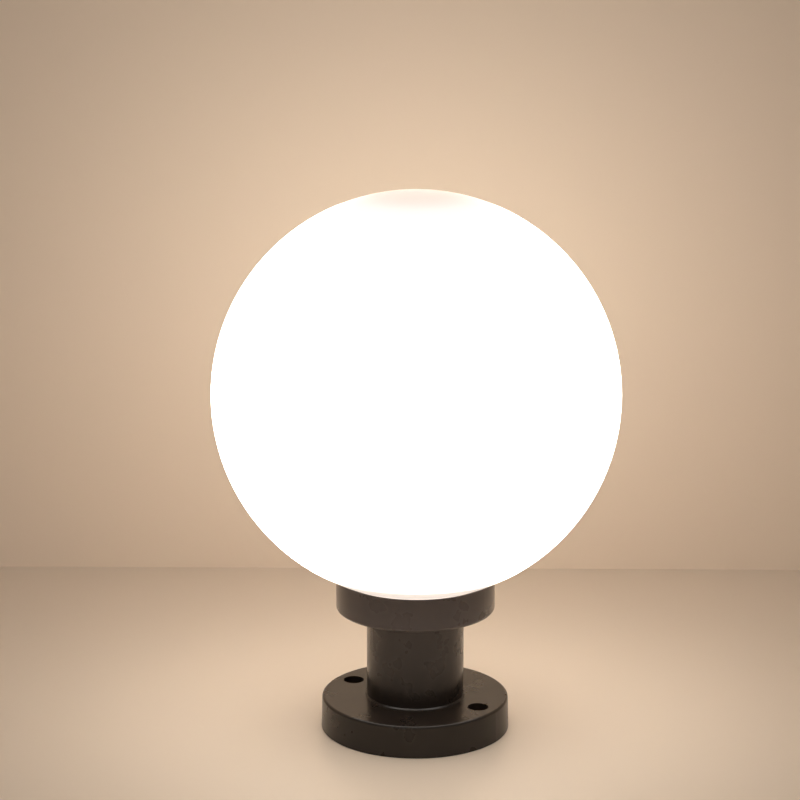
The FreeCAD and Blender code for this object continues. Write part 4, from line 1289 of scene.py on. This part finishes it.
# ------------------------------------------------------------------------------ studio
@dataclass
class Studio:
    """Floor, backdrop, lights and camera."""

    azimuth: float = math.radians(31.4)
    distance: float = 1.2
    height: float = 0.4635
    pitch: float = 0.2414
    pan: float = 0.0066
    roll: float = 0.0024
    focal_pixels: float = 2530.5
    frame_pixels: float = 800.0
    sensor: float = 36.0
    backdrop_behind: float = 0.258
    floor_from: float = -4.0
    half_width: float = 3.0
    backdrop_height: float = 3.0
    sky: Colour = (1.0, 0.99, 0.98, 1.0)
    sky_strength: float = 0.18
    lamp_at: Point = (0.0, -1.6, 1.9)
    lamp_size: float = 2.6
    lamp_power: float = 6.0
    lamp_colour: Point = (1.0, 0.97, 0.94)
    lamp_aim: Point = (0.0, 0.0, 0.12)

    def facing(self, sideways: float, away: float, up: float) -> Vector:
        """A point given as the camera sees it: to the right, away from it and up.

        Args:
            sideways: metres to the right of the light's axis.
            away: metres behind that axis.
            up: metres above the floor.

        Returns:
            The point in the row frame.
        """
        sine, cosine = math.sin(self.azimuth), math.cos(self.azimuth)
        return Vector((cosine * sideways - sine * away, sine * sideways + cosine * away, up))

    def sheet(self, name: str, corners: Sequence[Vector], finish: StudioPaper) -> None:
        """Makes one flat sheet of the studio.

        Args:
            name: the sheet's name.
            corners: its four corners in order.
            finish: what it is made of.
        """
        mesh = bpy.data.meshes.new(name)
        mesh.from_pydata([tuple(corner) for corner in corners], [], [(0, 1, 2, 3)])
        mesh.materials.append(finish.make())
        sheet = bpy.data.objects.new(name, mesh)
        bpy.context.scene.collection.objects.link(sheet)

    def room(self) -> None:
        """Lays the floor and hangs the backdrop."""
        wide, near, far = self.half_width, self.floor_from, self.backdrop_behind
        floor = [self.facing(-wide, near, 0), self.facing(wide, near, 0),
                 self.facing(wide, far, 0), self.facing(-wide, far, 0)]
        self.sheet("floor", floor, FLOOR_PAPER)
        wall = [self.facing(-wide, far, 0), self.facing(wide, far, 0),
                self.facing(wide, far, self.backdrop_height),
                self.facing(-wide, far, self.backdrop_height)]
        self.sheet("backdrop", wall, WALL_PAPER)

    def light(self) -> None:
        """Lights the room softly, by the sky and one square lamp in front."""
        world = bpy.data.worlds.new("studio_world")
        world.use_nodes = True
        background = world.node_tree.nodes["Background"]
        background.inputs["Color"].default_value = self.sky
        background.inputs["Strength"].default_value = self.sky_strength
        bpy.context.scene.world = world
        data = bpy.data.lights.new("front_soft", "AREA")
        data.shape = "SQUARE"
        data.size = self.lamp_size
        data.energy = self.lamp_power
        data.color = self.lamp_colour
        lamp = bpy.data.objects.new("front_soft", data)
        at = self.facing(*self.lamp_at)
        turn = (Vector(self.lamp_aim) - at).to_track_quat("-Z", "Y").to_matrix().to_4x4()
        lamp.matrix_world = Matrix.Translation(at) @ turn
        bpy.context.scene.collection.objects.link(lamp)

    def camera(self) -> None:
        """Sets the camera where the picture was taken from."""
        data = bpy.data.cameras.new("camera")
        data.sensor_width = self.sensor
        data.lens = self.focal_pixels * self.sensor / self.frame_pixels
        camera = bpy.data.objects.new("camera", data)
        at = self.facing(0, -self.distance, self.height)
        turn = Matrix.Rotation(self.azimuth + self.pan, 4, "Z")
        tip = Matrix.Rotation(math.pi / 2 - self.pitch, 4, "X")
        camera.matrix_world = Matrix.Translation(at) @ turn @ tip @ Matrix.Rotation(self.roll, 4, "Z")
        bpy.context.scene.collection.objects.link(camera)
        bpy.context.scene.camera = camera

    def build(self) -> None:
        """Sets up the whole studio."""
        self.camera()
        self.room()
        self.light()
        bpy.context.scene.view_settings.view_transform = "Standard"


def main() -> None:
    """Builds the studio and dresses each sub-assembly in order."""
    logging.basicConfig(level=logging.INFO, format="%(name)s: %(message)s")
    Studio().build()
    for part in (Pedestal(), Globe(), TieRod(), Lampholder(), Bulb(), Wiring()):
        LOG.info("building %s", type(part).__name__)
        part.build()


if __name__ == "__main__":
    main()
